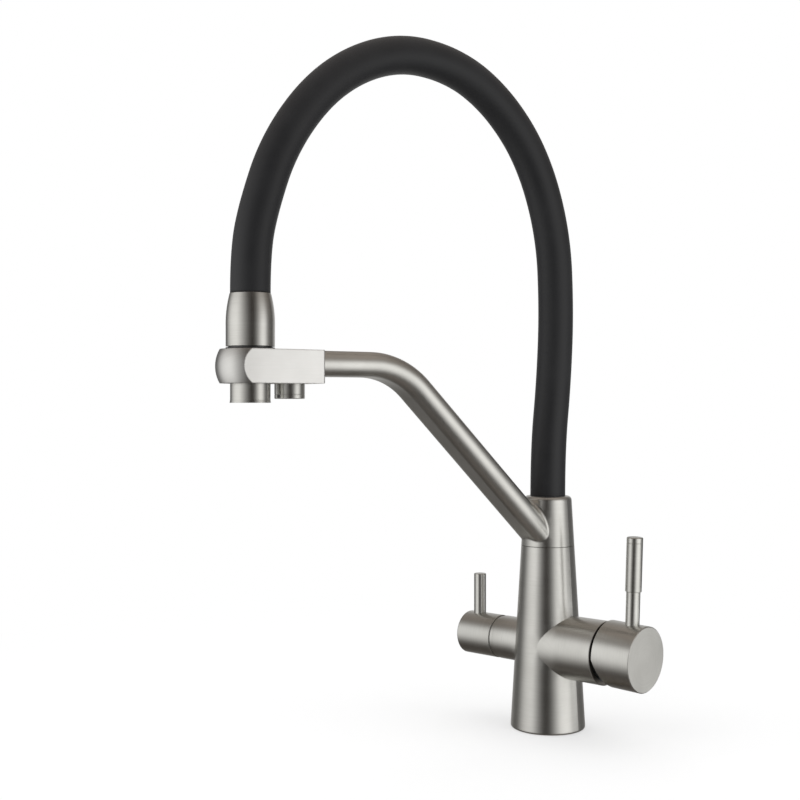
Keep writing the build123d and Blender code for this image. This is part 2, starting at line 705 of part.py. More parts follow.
# Mixer cap, with its lower rear edge cut back so that it can tilt
cap_bore = cap_radius - cap_wall
relief_depth = (cap_radius + overrun - relief_start) * tan(radians(relief_angle))
with BuildPart() as mixer_cap:
    turn(band(cap_rear, cap_front, 0, cap_radius), cap_plane, cap_axis)
    chamfer(mixer_cap.edges().filter_by(GeomType.CIRCLE).sort_by(Axis.X)[-1], cap_front_chamfer)
    chamfer(mixer_cap.edges().filter_by(GeomType.CIRCLE).sort_by(Axis.X)[0], cap_rear_chamfer)
    turn(band(cap_rear - overrun, cap_cavity_floor, 0, cap_bore), cap_plane, cap_axis, Mode.SUBTRACT)
    with BuildSketch(cap_plane) as relief:
        with BuildLine():
            Polyline((cap_rear - overrun, -relief_start), (cap_rear, -relief_start),
                     (cap_rear + relief_depth, -cap_radius - overrun), (cap_rear - overrun, -cap_radius - overrun),
                     close=True)
        make_face()
    extrude(relief.sketch, amount=cap_radius + overrun, both=True, mode=Mode.SUBTRACT)
    with BuildSketch(Plane(origin=on_stem(cap_cavity_floor), x_dir=(0, 1, 0), z_dir=cap_direction)):
        Rectangle(stem_size + running_gap, stem_size + running_gap)
    extrude(amount=stem_end + free_gap - cap_cavity_floor, mode=Mode.SUBTRACT)
    drill(on_cap(pin_distance, mixer_pin_foot), pin_direction, mixer_pin_radius, overrun * 2)
    drill(on_cap(pin_distance, 0), pin_direction, mixer_pin_thread_radius, mixer_pin_foot)
    drill(on_cap(pin_distance, 0), -pin_direction, cap_screw_radius, cap_radius + overrun)
mixer_cap.part.label = "mixer_cap"
export_step(mixer_cap.part, "parts/mixer_cap.step")


def cut_hex_socket(head, inward):
    """Key socket in the head of a grub screw."""
    with BuildSketch(Plane(origin=head, z_dir=inward)) as socket:
        RegularPolygon(hex_socket_radius, 6)
    extrude(socket.sketch, amount=hex_socket_depth, mode=Mode.SUBTRACT)


with BuildPart() as cap_grub_screw:
    screw_head = on_stem(pin_distance) - pin_direction * (stem_size / 2 + cap_screw_length)
    rod(screw_head, pin_direction, cap_screw_radius, cap_screw_length)
    cut_hex_socket(screw_head, pin_direction)
cap_grub_screw.part.label = "cap_grub_screw"
export_step(cap_grub_screw.part, "parts/cap_grub_screw.step")

with BuildPart() as mixer_pin:
    rod(on_cap(pin_distance, mixer_pin_foot), pin_direction, mixer_pin_radius, grip_start - mixer_pin_foot)
    rod(on_cap(pin_distance, mixer_pin_thread_end), pin_direction, mixer_pin_thread_radius,
        mixer_pin_foot - mixer_pin_thread_end)
    rod(on_cap(pin_distance, grip_start), pin_direction, grip_tenon_radius, grip_tenon_length)
mixer_pin.part.label = "mixer_pin"
export_step(mixer_pin.part, "parts/mixer_pin.step")

with BuildPart() as mixer_grip:
    rod(on_cap(pin_distance, grip_start), pin_direction, grip_radius, grip_end - grip_start)
    fillet(mixer_grip.edges().filter_by(GeomType.CIRCLE).sort_by(Axis.Z)[-1], grip_round)
    fillet(mixer_grip.edges().filter_by(GeomType.CIRCLE).sort_by(Axis.Z)[0], grip_lower_round)
    drill(on_cap(pin_distance, grip_start), pin_direction, grip_tenon_radius, grip_tenon_length)
    grip_line = grip_end - grip_line_drop
    line_plane = Plane(origin=on_cap(pin_distance, grip_line), z_dir=pin_direction)
    with BuildSketch(line_plane):
        Circle(grip_radius + overrun)
        Circle(grip_radius - grip_line_depth, mode=Mode.SUBTRACT)
    extrude(amount=grip_line_width, mode=Mode.SUBTRACT)
mixer_grip.part.label = "mixer_grip"
export_step(mixer_grip.part, "parts/mixer_grip.step")

# Filter valve: its flange sits in the barrel, and its wider collar covers the barrel's end and fills the gap up to
# the knob, which leaves a shallow groove
knob_start = filter_barrel_end + knob_gap
filter_collar_end = knob_start - free_gap
filter_fixed_start = filter_seat + free_gap
filter_moving_start = filter_fixed_start + filter_fixed_thickness
plate_start = filter_moving_start + filter_moving_thickness
with BuildPart() as filter_valve_body:
    turn(band(filter_seat, filter_collar_end, spindle_radius + running_gap, filter_valve_radius), filter_plane,
         valve_axis)
    turn(band(filter_flange_start, filter_barrel_end, spindle_radius + running_gap, filter_flange_radius),
         filter_plane, valve_axis)
    turn(band(filter_barrel_end, filter_collar_end, spindle_radius + running_gap, filter_collar_radius),
         filter_plane, valve_axis)
    turn(band(filter_seat, filter_chamber_end, 0, filter_chamber_radius), filter_plane, valve_axis, Mode.SUBTRACT)
    turn(band(filter_seal_distance - filter_seal_section, filter_seal_distance + filter_seal_section, 0,
              spindle_radius + filter_seal_section * 2), filter_plane, valve_axis, Mode.SUBTRACT)
    drill((-filter_window_distance, 0, valve_height), up, filter_window_radius, filter_valve_radius + overrun)
filter_valve_body.part.label = "filter_valve_body"
export_step(filter_valve_body.part, "parts/filter_valve_body.step")

with BuildPart() as filter_valve_seal:
    ring_of_section(filter_seal_distance, spindle_radius + running_gap + filter_seal_section,
                    filter_seal_section - running_gap, filter_plane, valve_axis)
filter_valve_seal.part.label = "filter_valve_seal"
export_step(filter_valve_seal.part, "parts/filter_valve_seal.step")


def half_port(start, thickness):
    """Half-round port through one of the filter valve's discs."""
    with BuildSketch(Plane(origin=(-start, 0, valve_height), x_dir=(0, 1, 0), z_dir=(-1, 0, 0))) as port:
        with BuildLine():
            CenterArc((0, 0), filter_chamber_radius - filter_way_radius, 0, 180)
            Line((filter_chamber_radius - filter_way_radius, 0), (filter_way_radius - filter_chamber_radius, 0))
        make_face()
    extrude(port.sketch, amount=thickness, mode=Mode.SUBTRACT)


with BuildPart() as filter_fixed_disc:
    turn(band(filter_fixed_start, filter_moving_start, 0, filter_disc_radius), filter_plane, valve_axis)
    half_port(filter_fixed_start, filter_fixed_thickness)
filter_fixed_disc.part.label = "filter_fixed_disc"
export_step(filter_fixed_disc.part, "parts/filter_fixed_disc.step")

with BuildPart() as filter_moving_disc:
    turn(band(filter_moving_start, plate_start, 0, spindle_plate_radius), filter_plane, valve_axis)
    half_port(filter_moving_start, filter_moving_thickness)
filter_moving_disc.part.label = "filter_moving_disc"
export_step(filter_moving_disc.part, "parts/filter_moving_disc.step")

with BuildPart() as filter_spindle:
    turn(band(plate_start, plate_start + spindle_plate_thickness, 0, spindle_plate_radius), filter_plane, valve_axis)
    turn(band(plate_start, spindle_end, 0, spindle_radius), filter_plane, valve_axis)
filter_spindle.part.label = "filter_spindle"
export_step(filter_spindle.part, "parts/filter_spindle.step")

with BuildPart() as filter_knob:
    turn(band(knob_start, knob_end, 0, filter_barrel_radius), filter_plane, valve_axis)
    fillet(filter_knob.edges().filter_by(GeomType.CIRCLE).sort_by(Axis.X)[0], knob_round)
    chamfer(filter_knob.edges().filter_by(GeomType.CIRCLE).sort_by(Axis.X)[-1], knob_chamfer)
    turn(band(knob_start, knob_cavity_end, 0, knob_cavity_radius), filter_plane, valve_axis, Mode.SUBTRACT)
    turn(band(knob_cavity_end, spindle_end + free_gap, 0, spindle_radius + running_gap), filter_plane, valve_axis,
         Mode.SUBTRACT)
    drill((-filter_pin_distance, 0, valve_height + filter_pin_foot), up, filter_pin_radius, filter_barrel_radius)
    drill((-knob_screw_distance, 0, valve_height), down, knob_screw_radius, filter_barrel_radius + overrun)
filter_knob.part.label = "filter_knob"
export_step(filter_knob.part, "parts/filter_knob.step")

with BuildPart() as knob_grub_screw:
    knob_screw_head = Vector(-knob_screw_distance, 0, valve_height - spindle_radius - knob_screw_length)
    rod(knob_screw_head, up, knob_screw_radius, knob_screw_length)
    cut_hex_socket(knob_screw_head, up)
knob_grub_screw.part.label = "knob_grub_screw"
export_step(knob_grub_screw.part, "parts/knob_grub_screw.step")

with BuildPart() as filter_pin:
    rod((-filter_pin_distance, 0, valve_height + filter_pin_foot), up, filter_pin_radius,
        filter_pin_top - filter_pin_foot)
    fillet(filter_pin.edges().filter_by(GeomType.CIRCLE).sort_by(Axis.Z)[-1], filter_pin_round)
filter_pin.part.label = "filter_pin"
export_step(filter_pin.part, "parts/filter_pin.step")

# Spout: collar and arm in one piece
block_rear = reach - block_tail


def arm_point_level(at_reach):
    """Height of the sloping stretch's centre line at a reach."""
    return arm_level - (arm_corner_reach - at_reach) * arm_slope


def arm_line_direction():
    """Direction of the arm's sloping stretch, away from the tower."""
    return arm_direction * cos(arm_slope_angle) + Vector(0, 0, sin(arm_slope_angle))


def arm_sweep(start_reach, width, height, mode):
    """Flattened tube along the arm's centre line, from a reach to the dock block."""
    with BuildLine(arm_plane) as centre_line:
        FilletPolyline((start_reach, arm_point_level(start_reach)), (arm_corner_reach, arm_level),
                       (block_rear, arm_level), radius=arm_bend_radius)
    with BuildSketch(Plane(origin=centre_line.line @ 0, x_dir=arm_plane.z_dir, z_dir=centre_line.line % 0)) as section:
        SlotOverall(width, height)
    sweep(section.sketch, path=centre_line.line, mode=mode)


with BuildPart() as spout_arm:
    with BuildSketch(Plane.XZ) as collar_section:
        with BuildLine():
            Polyline((0, collar_bottom), (tower_radius(collar_bottom), collar_bottom),
                     (tower_radius(collar_top), collar_top), (0, collar_top), close=True)
        make_face()
    revolve(collar_section.sketch, axis=Axis.Z)
    fillet(spout_arm.edges().group_by(Axis.Z)[-1], collar_round)
    arm_sweep(arm_start_reach, arm_width, arm_height, Mode.ADD)
    weld_edges = spout_arm.edges().filter_by(GeomType.BSPLINE) + spout_arm.edges().filter_by(GeomType.ELLIPSE)
    fillet(weld_edges, arm_weld_round)
    arm_sweep(arm_cavity_reach, arm_width - arm_wall * 2, arm_height - arm_wall * 2, Mode.SUBTRACT)
    turn(upright_band(collar_bottom - overrun, collar_chamber_top, 0, spigot_radius + running_gap), Plane.XZ, Axis.Z,
         Mode.SUBTRACT)
    turn(upright_band(collar_chamber_top, collar_top, 0, tail_thread_radius), Plane.XZ, Axis.Z, Mode.SUBTRACT)
    turn(upright_band(socket_floor, collar_top + overrun, 0, hose_radius + running_gap), Plane.XZ, Axis.Z,
         Mode.SUBTRACT)
    tube_hole_start = Vector(arm_plane.from_local_coords((spigot_radius / 2, arm_point_level(spigot_radius / 2))))
    drill(tube_hole_start, arm_line_direction(), filter_tube_radius + running_gap,
          (arm_cavity_reach + overrun) / cos(arm_slope_angle))
    screw_seat = arm_plane.from_local_coords((0, retain_height))
    drill(screw_seat, -arm_direction, collar_screw_radius, base_radius)
spout_arm.part.label = "spout_arm"
export_step(spout_arm.part, "parts/spout_arm.step")

with BuildPart() as collar_grub_screw:
    collar_screw_head = arm_plane.from_local_coords((-tower_radius(retain_height) + free_gap, retain_height))
    screw_shank_length = tower_radius(retain_height) - free_gap - collar_screw_depth - collar_screw_tip_length / 2
    rod(collar_screw_head, arm_direction, collar_screw_radius, screw_shank_length)
    rod(collar_screw_head, arm_direction, collar_screw_tip_radius, screw_shank_length + collar_screw_tip_length)
    cut_hex_socket(collar_screw_head, arm_direction)
collar_grub_screw.part.label = "collar_grub_screw"
export_step(collar_grub_screw.part, "parts/collar_grub_screw.step")

with BuildPart() as filter_tube:
    with BuildLine(arm_plane) as tube_line:
        FilletPolyline((filter_tube_start_reach, arm_point_level(filter_tube_start_reach)),
                       (arm_corner_reach, arm_level), (block_rear + overrun, arm_level),
                       radius=filter_tube_bend_radius)
    with BuildSketch(Plane(origin=tube_line.line @ 0, z_dir=tube_line.line % 0)) as tube_section:
        Circle(filter_tube_radius)
        Circle(filter_tube_bore, mode=Mode.SUBTRACT)
    sweep(tube_section.sketch, path=tube_line.line)
filter_tube.part.label = "filter_tube"
export_step(filter_tube.part, "parts/filter_tube.step")

# Dock block with a ball-shaped nose round the spray head's axis
block_middle = (block_bottom + block_top) / 2
bush_radius = bush_bore + bush_wall
with BuildPart() as dock_block:
    with BuildSketch(spray_plane) as nose_section:
        with BuildLine():
            CenterArc((0, block_middle), nose_radius, -90, 180)
            Line((0, block_middle + nose_radius), (0, block_middle - nose_radius))
        make_face()
    revolve(nose_section.sketch, axis=spray_axis)
    with BuildSketch(level_plane.offset(block_bottom)) as block_section:
        with Locations((reach, 0)):
            Rectangle(nose_radius * 2 + overrun, block_half_width * 2)
    extrude(block_section.sketch, amount=block_top - block_bottom, mode=Mode.INTERSECT)
    with BuildSketch(level_plane.offset(block_bottom)) as tail_section:
        with BuildLine():
            Polyline((block_rear, -block_half_width), (reach, -block_half_width), (reach, block_half_width),
                     (block_rear, block_half_width), close=True)
        make_face()
    extrude(tail_section.sketch, amount=block_top - block_bottom)
    rear_corner = arm_plane.from_local_coords((block_rear, block_middle))
    rear_face = dock_block.faces().sort_by_distance(rear_corner)[0]
    fillet(rear_face.edges(), block_round)
    turn(upright_band(block_bottom - overrun, block_top + overrun, 0, bush_radius), spray_plane, spray_axis,
         Mode.SUBTRACT)
    turn(upright_band(block_bottom - overrun, arm_level + filter_tube_radius, 0, outlet_thread_radius), outlet_plane,
         outlet_axis, Mode.SUBTRACT)
    drill(arm_plane.from_local_coords((block_rear - overrun, arm_level)), arm_direction,
          filter_tube_radius + running_gap, block_tail - outlet_offset + overrun)
dock_block.part.label = "dock_block"
export_step(dock_block.part, "parts/dock_block.step")

with BuildPart() as dock_bush:
    turn(upright_band(block_bottom, block_top, bush_bore, bush_radius), spray_plane, spray_axis)
    turn(upright_band(block_top, lip_top, bush_bore, bush_lip_radius), spray_plane, spray_axis)
dock_bush.part.label = "dock_bush"
export_step(dock_bush.part, "parts/dock_bush.step")

with BuildPart() as filter_outlet:
    turn(upright_band(outlet_bottom, block_bottom, outlet_bore, outlet_radius), outlet_plane, outlet_axis)
    fillet(filter_outlet.edges().group_by(Axis.Z)[0].sort_by(SortBy.LENGTH)[-1], outlet_round)
    turn(upright_band(block_bottom, block_bottom + outlet_thread_length, outlet_bore, outlet_thread_radius),
         outlet_plane, outlet_axis)
    turn(upright_band(outlet_bottom - overrun, outlet_bottom + outlet_cup_depth, 0, outlet_cup_radius), outlet_plane,
         outlet_axis, Mode.SUBTRACT)
    line_bottom = outlet_bottom + outlet_line_rise
    turn(upright_band(line_bottom, line_bottom + outlet_line_width, outlet_radius - outlet_line_depth,
                      outlet_radius + overrun), outlet_plane, outlet_axis, Mode.SUBTRACT)
    with BuildSketch(Plane(origin=outlet_foot + Vector(0, 0, outlet_bottom), x_dir=arm_direction, z_dir=up)):
        with PolarLocations(outlet_radius, outlet_notches, start_angle=outlet_notch_turn):
            Rectangle(outlet_notch_width, outlet_notch_width)
    extrude(amount=outlet_notch_height, mode=Mode.SUBTRACT)
filter_outlet.part.label = "filter_outlet"
export_step(filter_outlet.part, "parts/filter_outlet.step")

aerator_bottom = outlet_bottom + aerator_inset
aerator_top = aerator_bottom + aerator_thickness
with BuildPart() as filter_aerator:
    turn(upright_band(aerator_bottom, aerator_top, 0, outlet_cup_radius), outlet_plane, outlet_axis)
    with BuildSketch(Plane(origin=outlet_foot + Vector(0, 0, aerator_bottom), z_dir=up)):
        with PolarLocations(outlet_cup_radius * aerator_circle_share, aerator_holes):
            Circle(aerator_hole_radius)
        with PolarLocations(outlet_cup_radius * aerator_inner_circle_share, aerator_inner_holes):
            Circle(aerator_hole_radius)
    extrude(amount=aerator_thickness, mode=Mode.SUBTRACT)
filter_aerator.part.label = "filter_aerator"
export_step(filter_aerator.part, "parts/filter_aerator.step")

with BuildPart() as aerator_washer:
    turn(upright_band(aerator_top, outlet_bottom + outlet_cup_depth, outlet_bore, outlet_cup_radius), outlet_plane,
         outlet_axis)
aerator_washer.part.label = "aerator_washer"
export_step(aerator_washer.part, "parts/aerator_washer.step")

# Hose: one line for its three layers. The rising side's points are reach and height from the socket in the collar,
# and the falling side's are the same two from the hose's end in the spray head. Both are for the drawn reach, and
# spread or close up with the real one.
drawn_reach = 233.8
rising_points = [(0, 37), (-5.5, 86), (-8, 137), (-5, 192), (13.5, 244), (44.5, 280), (82, 300)]
falling_points = [(-103.8, 164.9), (-56.3, 141.4), (-20.8, 97.4), (-3.6, 47.4), (0, 20.4)]
span_share = reach / drawn_reach
hose_corners = [(along * span_share, socket_floor + rise) for along, rise in rising_points]
hose_corners += [(reach + along * span_share, hose_head_height + rise) for along, rise in falling_points]
hose_bend_share = 0.45


def hose_radii(route):
    """Radius of the arc at each corner of a route, as large as its two runs allow."""
    radii = []
    for before, corner, after in zip(route, route[1:], route[2:]):
        first = Vector(*corner) - Vector(*before)
        second = Vector(*after) - Vector(*corner)
        half_turn = radians(first.get_angle(second)) / 2
        radii.append(hose_bend_share * min(first.length, second.length) / tan(half_turn))
    return radii


jacket_route = [(0, socket_floor)] + hose_corners + [(reach, hose_head_height)]
bend_radii = hose_radii(jacket_route)
print("hose bend radii", [round(radius) for radius in bend_radii])


def hose_layer(start_height, end_height, outer, inner):
    """One layer of the hose, between two heights on its upright ends."""
    route = [(0, start_height)] + hose_corners + [(reach, end_height)]
    with BuildLine(arm_plane) as hose_line:
        FilletPolyline(*route, radius=bend_radii)
    path = hose_line.wire()
    with BuildSketch(Plane(origin=path @ 0, z_dir=path % 0)) as hose_section:
        Circle(outer)
        Circle(inner, mode=Mode.SUBTRACT)
    sweep(hose_section.sketch, path=path)
    print("hose layer length", round(path.length, 1),
          "section times length", round(hose_section.sketch.area * path.length))


cup_bore = cup_radius - cup_wall
tail_cup_top = socket_floor + tail_floor + tail_cup_length
ferrule_top = hose_head_height + tail_floor + ferrule_cup_length
with BuildPart() as hose_jacket:
    hose_layer(socket_floor, hose_head_height, hose_radius, hose_bore)
print("hose jacket volume", round(hose_jacket.part.volume))
hose_jacket.part.label = "hose_jacket"
export_step(hose_jacket.part, "parts/hose_jacket.step")

# The support spring is wound wire inside the jacket, made here as the closed sleeve that it fills
with BuildPart() as hose_spring:
    hose_layer(tail_cup_top + fitting_gap, ferrule_top + fitting_gap, support_outer, support_inner)
hose_spring.part.label = "hose_spring"
export_step(hose_spring.part, "parts/hose_spring.step")

with BuildPart() as inner_hose:
    hose_layer(socket_floor + tail_floor, hose_head_height + tail_floor, inner_hose_radius, inner_hose_bore)
inner_hose.part.label = "inner_hose"
export_step(inner_hose.part, "parts/inner_hose.step")

with BuildPart() as hose_tail:
    turn(upright_band(collar_chamber_top + fitting_gap, socket_floor, tail_bore, tail_thread_radius), Plane.XZ, Axis.Z)
    turn(upright_band(socket_floor, socket_floor + tail_floor, tail_bore, cup_radius), Plane.XZ, Axis.Z)
    turn(upright_band(socket_floor + tail_floor, tail_cup_top, cup_bore, cup_radius), Plane.XZ, Axis.Z)
hose_tail.part.label = "hose_tail"
export_step(hose_tail.part, "parts/hose_tail.step")

# Spray head
washer_bottom = nozzle_top
flange_bottom = washer_bottom + washer_thickness
flange_top = flange_bottom + ferrule_flange_thickness
with BuildPart() as hose_ferrule:
    turn(upright_band(flange_bottom, flange_top, tail_bore, ferrule_flange_radius), spray_plane, spray_axis)
    turn(upright_band(flange_top, hose_head_height, tail_bore, ferrule_neck_radius), spray_plane, spray_axis)
    turn(upright_band(hose_head_height, hose_head_height + tail_floor, tail_bore, cup_radius), spray_plane, spray_axis)
    turn(upright_band(hose_head_height + tail_floor, ferrule_top, cup_bore, cup_radius), spray_plane, spray_axis)
hose_ferrule.part.label = "hose_ferrule"
export_step(hose_ferrule.part, "parts/hose_ferrule.step")

hose_nut_bottom = nozzle_top - hose_nut_overlap
hose_nut_roof = flange_top + free_gap
with BuildPart() as hose_nut:
    turn(upright_band(hose_nut_bottom, hose_nut_roof, nozzle_neck_radius + thread_gap, hose_nut_radius), spray_plane,
         spray_axis)
    turn(upright_band(hose_nut_roof, hose_nut_roof + hose_nut_roof_thickness, ferrule_neck_radius + free_gap,
                      hose_nut_radius), spray_plane, spray_axis)
hose_nut.part.label = "hose_nut"
export_step(hose_nut.part, "parts/hose_nut.step")

with BuildPart() as hose_washer:
    turn(upright_band(washer_bottom, flange_bottom, washer_bore, ferrule_flange_radius), spray_plane, spray_axis)
hose_washer.part.label = "hose_washer"
export_step(hose_washer.part, "parts/hose_washer.step")

sleeve_waist_height = sleeve_straight_top + sleeve_curve_length * sleeve_waist_share
sleeve_neck_start = hose_head_height - sleeve_neck_length
sleeve_bore_top = sleeve_neck_start - sleeve_neck_slope
with BuildPart() as spray_sleeve:
    with BuildSketch(spray_plane) as sleeve_section:
        with BuildLine():
            Line((sleeve_bore, sleeve_bottom), (sleeve_radius, sleeve_bottom))
            Line((sleeve_radius, sleeve_bottom), (sleeve_radius, sleeve_straight_top))
            ThreePointArc((sleeve_radius, sleeve_straight_top), (sleeve_waist_radius, sleeve_waist_height),
                          (sleeve_top_radius, hose_head_height))
            Line((sleeve_top_radius, hose_head_height), (sleeve_neck_bore, hose_head_height))
            Line((sleeve_neck_bore, hose_head_height), (sleeve_neck_bore, sleeve_neck_start))
            Line((sleeve_neck_bore, sleeve_neck_start), (sleeve_bore, sleeve_bore_top))
            Line((sleeve_bore, sleeve_bore_top), (sleeve_bore, sleeve_bottom))
        make_face()
    revolve(sleeve_section.sketch, axis=spray_axis)
spray_sleeve.part.label = "spray_sleeve"
export_step(spray_sleeve.part, "parts/spray_sleeve.step")

with BuildPart() as seat_ring:
    turn(upright_band(lip_top, sleeve_bottom, nozzle_radius + thread_gap, seat_radius), spray_plane, spray_axis)
seat_ring.part.label = "seat_ring"
export_step(seat_ring.part, "parts/seat_ring.step")

with BuildPart() as spray_barrel:
    turn([(0, nozzle_bottom), (nozzle_flare, nozzle_bottom), (nozzle_radius, nozzle_bottom + nozzle_flare_height),
          (nozzle_radius, sleeve_bottom), (nozzle_thread_radius, sleeve_bottom),
          (nozzle_thread_radius, nozzle_thread_top), (nozzle_neck_radius, nozzle_thread_top),
          (nozzle_neck_radius, nozzle_top), (0, nozzle_top)], spray_plane, spray_axis)
    turn(upright_band(nozzle_bottom - overrun, nozzle_bottom + nozzle_cup_depth, 0, nozzle_cup_radius), spray_plane,
         spray_axis, Mode.SUBTRACT)
    turn(upright_band(nozzle_bottom, nozzle_top, 0, nozzle_bore), spray_plane, spray_axis, Mode.SUBTRACT)
    turn(upright_band(nozzle_top - valve_pocket_depth, nozzle_top + overrun, 0, valve_pocket_radius), spray_plane,
         spray_axis, Mode.SUBTRACT)
spray_barrel.part.label = "spray_barrel"
export_step(spray_barrel.part, "parts/spray_barrel.step")

with BuildPart() as check_valve:
    check_valve_bottom = nozzle_top - valve_pocket_depth
    turn(upright_band(check_valve_bottom, check_valve_bottom + check_valve_length, check_valve_bore,
                      check_valve_radius), spray_plane, spray_axis)
check_valve.part.label = "check_valve"
export_step(check_valve.part, "parts/check_valve.step")

face_bottom = nozzle_bottom + face_inset
face_top = face_bottom + face_thickness
with BuildPart() as spray_face:
    turn(upright_band(face_bottom, face_top, 0, face_radius), spray_plane, spray_axis)
    for circle, holes in zip(face_ring_circles, face_holes_per_ring):
        with BuildSketch(Plane(origin=spray_foot + Vector(0, 0, face_bottom - face_tip_height), z_dir=up)):
            with PolarLocations(circle, holes):
                Circle(face_tip_radius)
        extrude(amount=face_tip_height + face_thickness / 2)
    for circle, holes in zip(face_ring_circles, face_holes_per_ring):
        with BuildSketch(Plane(origin=spray_foot + Vector(0, 0, face_bottom - face_tip_height), z_dir=up)):
            with PolarLocations(circle, holes):
                Circle(face_hole_radius)
        extrude(amount=face_tip_height + face_thickness, mode=Mode.SUBTRACT)
spray_face.part.label = "spray_face"
export_step(spray_face.part, "parts/spray_face.step")

with BuildPart() as face_seal:
    turn(upright_band(face_top, face_top + face_seal_thickness, face_seal_bore, face_radius), spray_plane, spray_axis)
face_seal.part.label = "face_seal"
export_step(face_seal.part, "parts/face_seal.step")
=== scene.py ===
import math

import bpy
from mathutils import Matrix, Vector


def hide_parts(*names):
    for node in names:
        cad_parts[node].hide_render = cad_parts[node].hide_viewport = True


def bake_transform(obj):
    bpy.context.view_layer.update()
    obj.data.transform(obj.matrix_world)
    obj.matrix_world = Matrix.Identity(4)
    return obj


# Three-way kitchen tap: the finishes of its pieces, its hose, and the studio that it stands in
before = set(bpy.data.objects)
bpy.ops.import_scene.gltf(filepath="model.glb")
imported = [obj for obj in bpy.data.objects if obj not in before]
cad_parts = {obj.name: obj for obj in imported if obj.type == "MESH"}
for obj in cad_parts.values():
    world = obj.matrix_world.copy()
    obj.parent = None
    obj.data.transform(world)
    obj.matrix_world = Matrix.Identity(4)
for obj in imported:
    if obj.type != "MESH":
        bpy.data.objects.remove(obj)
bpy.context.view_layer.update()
scene = bpy.context.scene
MM = 0.001
UP = Vector((0, 0, 1))
ACROSS = Vector((1, 0, 0))


def facing(turn, rise=0.0):
    """Direction at a turn from the front and a rise above level, in radians."""
    return Vector((math.sin(turn) * math.cos(rise), -math.cos(turn) * math.cos(rise), math.sin(rise)))


def grey(level, warmth=0.0):
    """Grey colour, or a slightly warm one."""
    return (level * (1 + warmth), level, level * (1 - warmth), 1)


# Camera, from the outlines in the photograph
CAMERA_AZIMUTH = math.radians(36.22)
CAMERA_DISTANCE = 0.8847
CAMERA_HEIGHT = 0.23075
CAMERA_PAN = math.radians(6.85)
CAMERA_RISE = math.radians(0.13)
CAMERA_CLIP = (0.01, 20)
SENSOR_WIDTH = 36.0
FOCAL_PIXELS = 1229.6
PICTURE_PIXELS = 800

# Plane of the arm, which is swung from the front
SPOUT_SWING = math.radians(-14.4)
ARM_DIRECTION = facing(SPOUT_SWING)
ARM_SIDE = ARM_DIRECTION.cross(UP)


def make_camera():
    """Camera at the photograph's viewing angle, turned a little to the left of the tower."""
    back = facing(CAMERA_AZIMUTH)
    side = UP.cross(back)
    level = -back * math.cos(CAMERA_PAN) - side * math.sin(CAMERA_PAN)
    right = side * math.cos(CAMERA_PAN) - back * math.sin(CAMERA_PAN)
    forward = level * math.cos(CAMERA_RISE) + UP * math.sin(CAMERA_RISE)
    data = bpy.data.cameras.new("camera")
    data.sensor_width = SENSOR_WIDTH
    data.lens = FOCAL_PIXELS / PICTURE_PIXELS * SENSOR_WIDTH
    data.clip_start, data.clip_end = CAMERA_CLIP
    camera = bpy.data.objects.new("camera", data)
    turn = Matrix((right, right.cross(forward), -forward)).transposed()
    camera.matrix_world = Matrix.Translation(back * CAMERA_DISTANCE + UP * CAMERA_HEIGHT) @ turn.to_4x4()
    scene.collection.objects.link(camera)
    scene.camera = camera


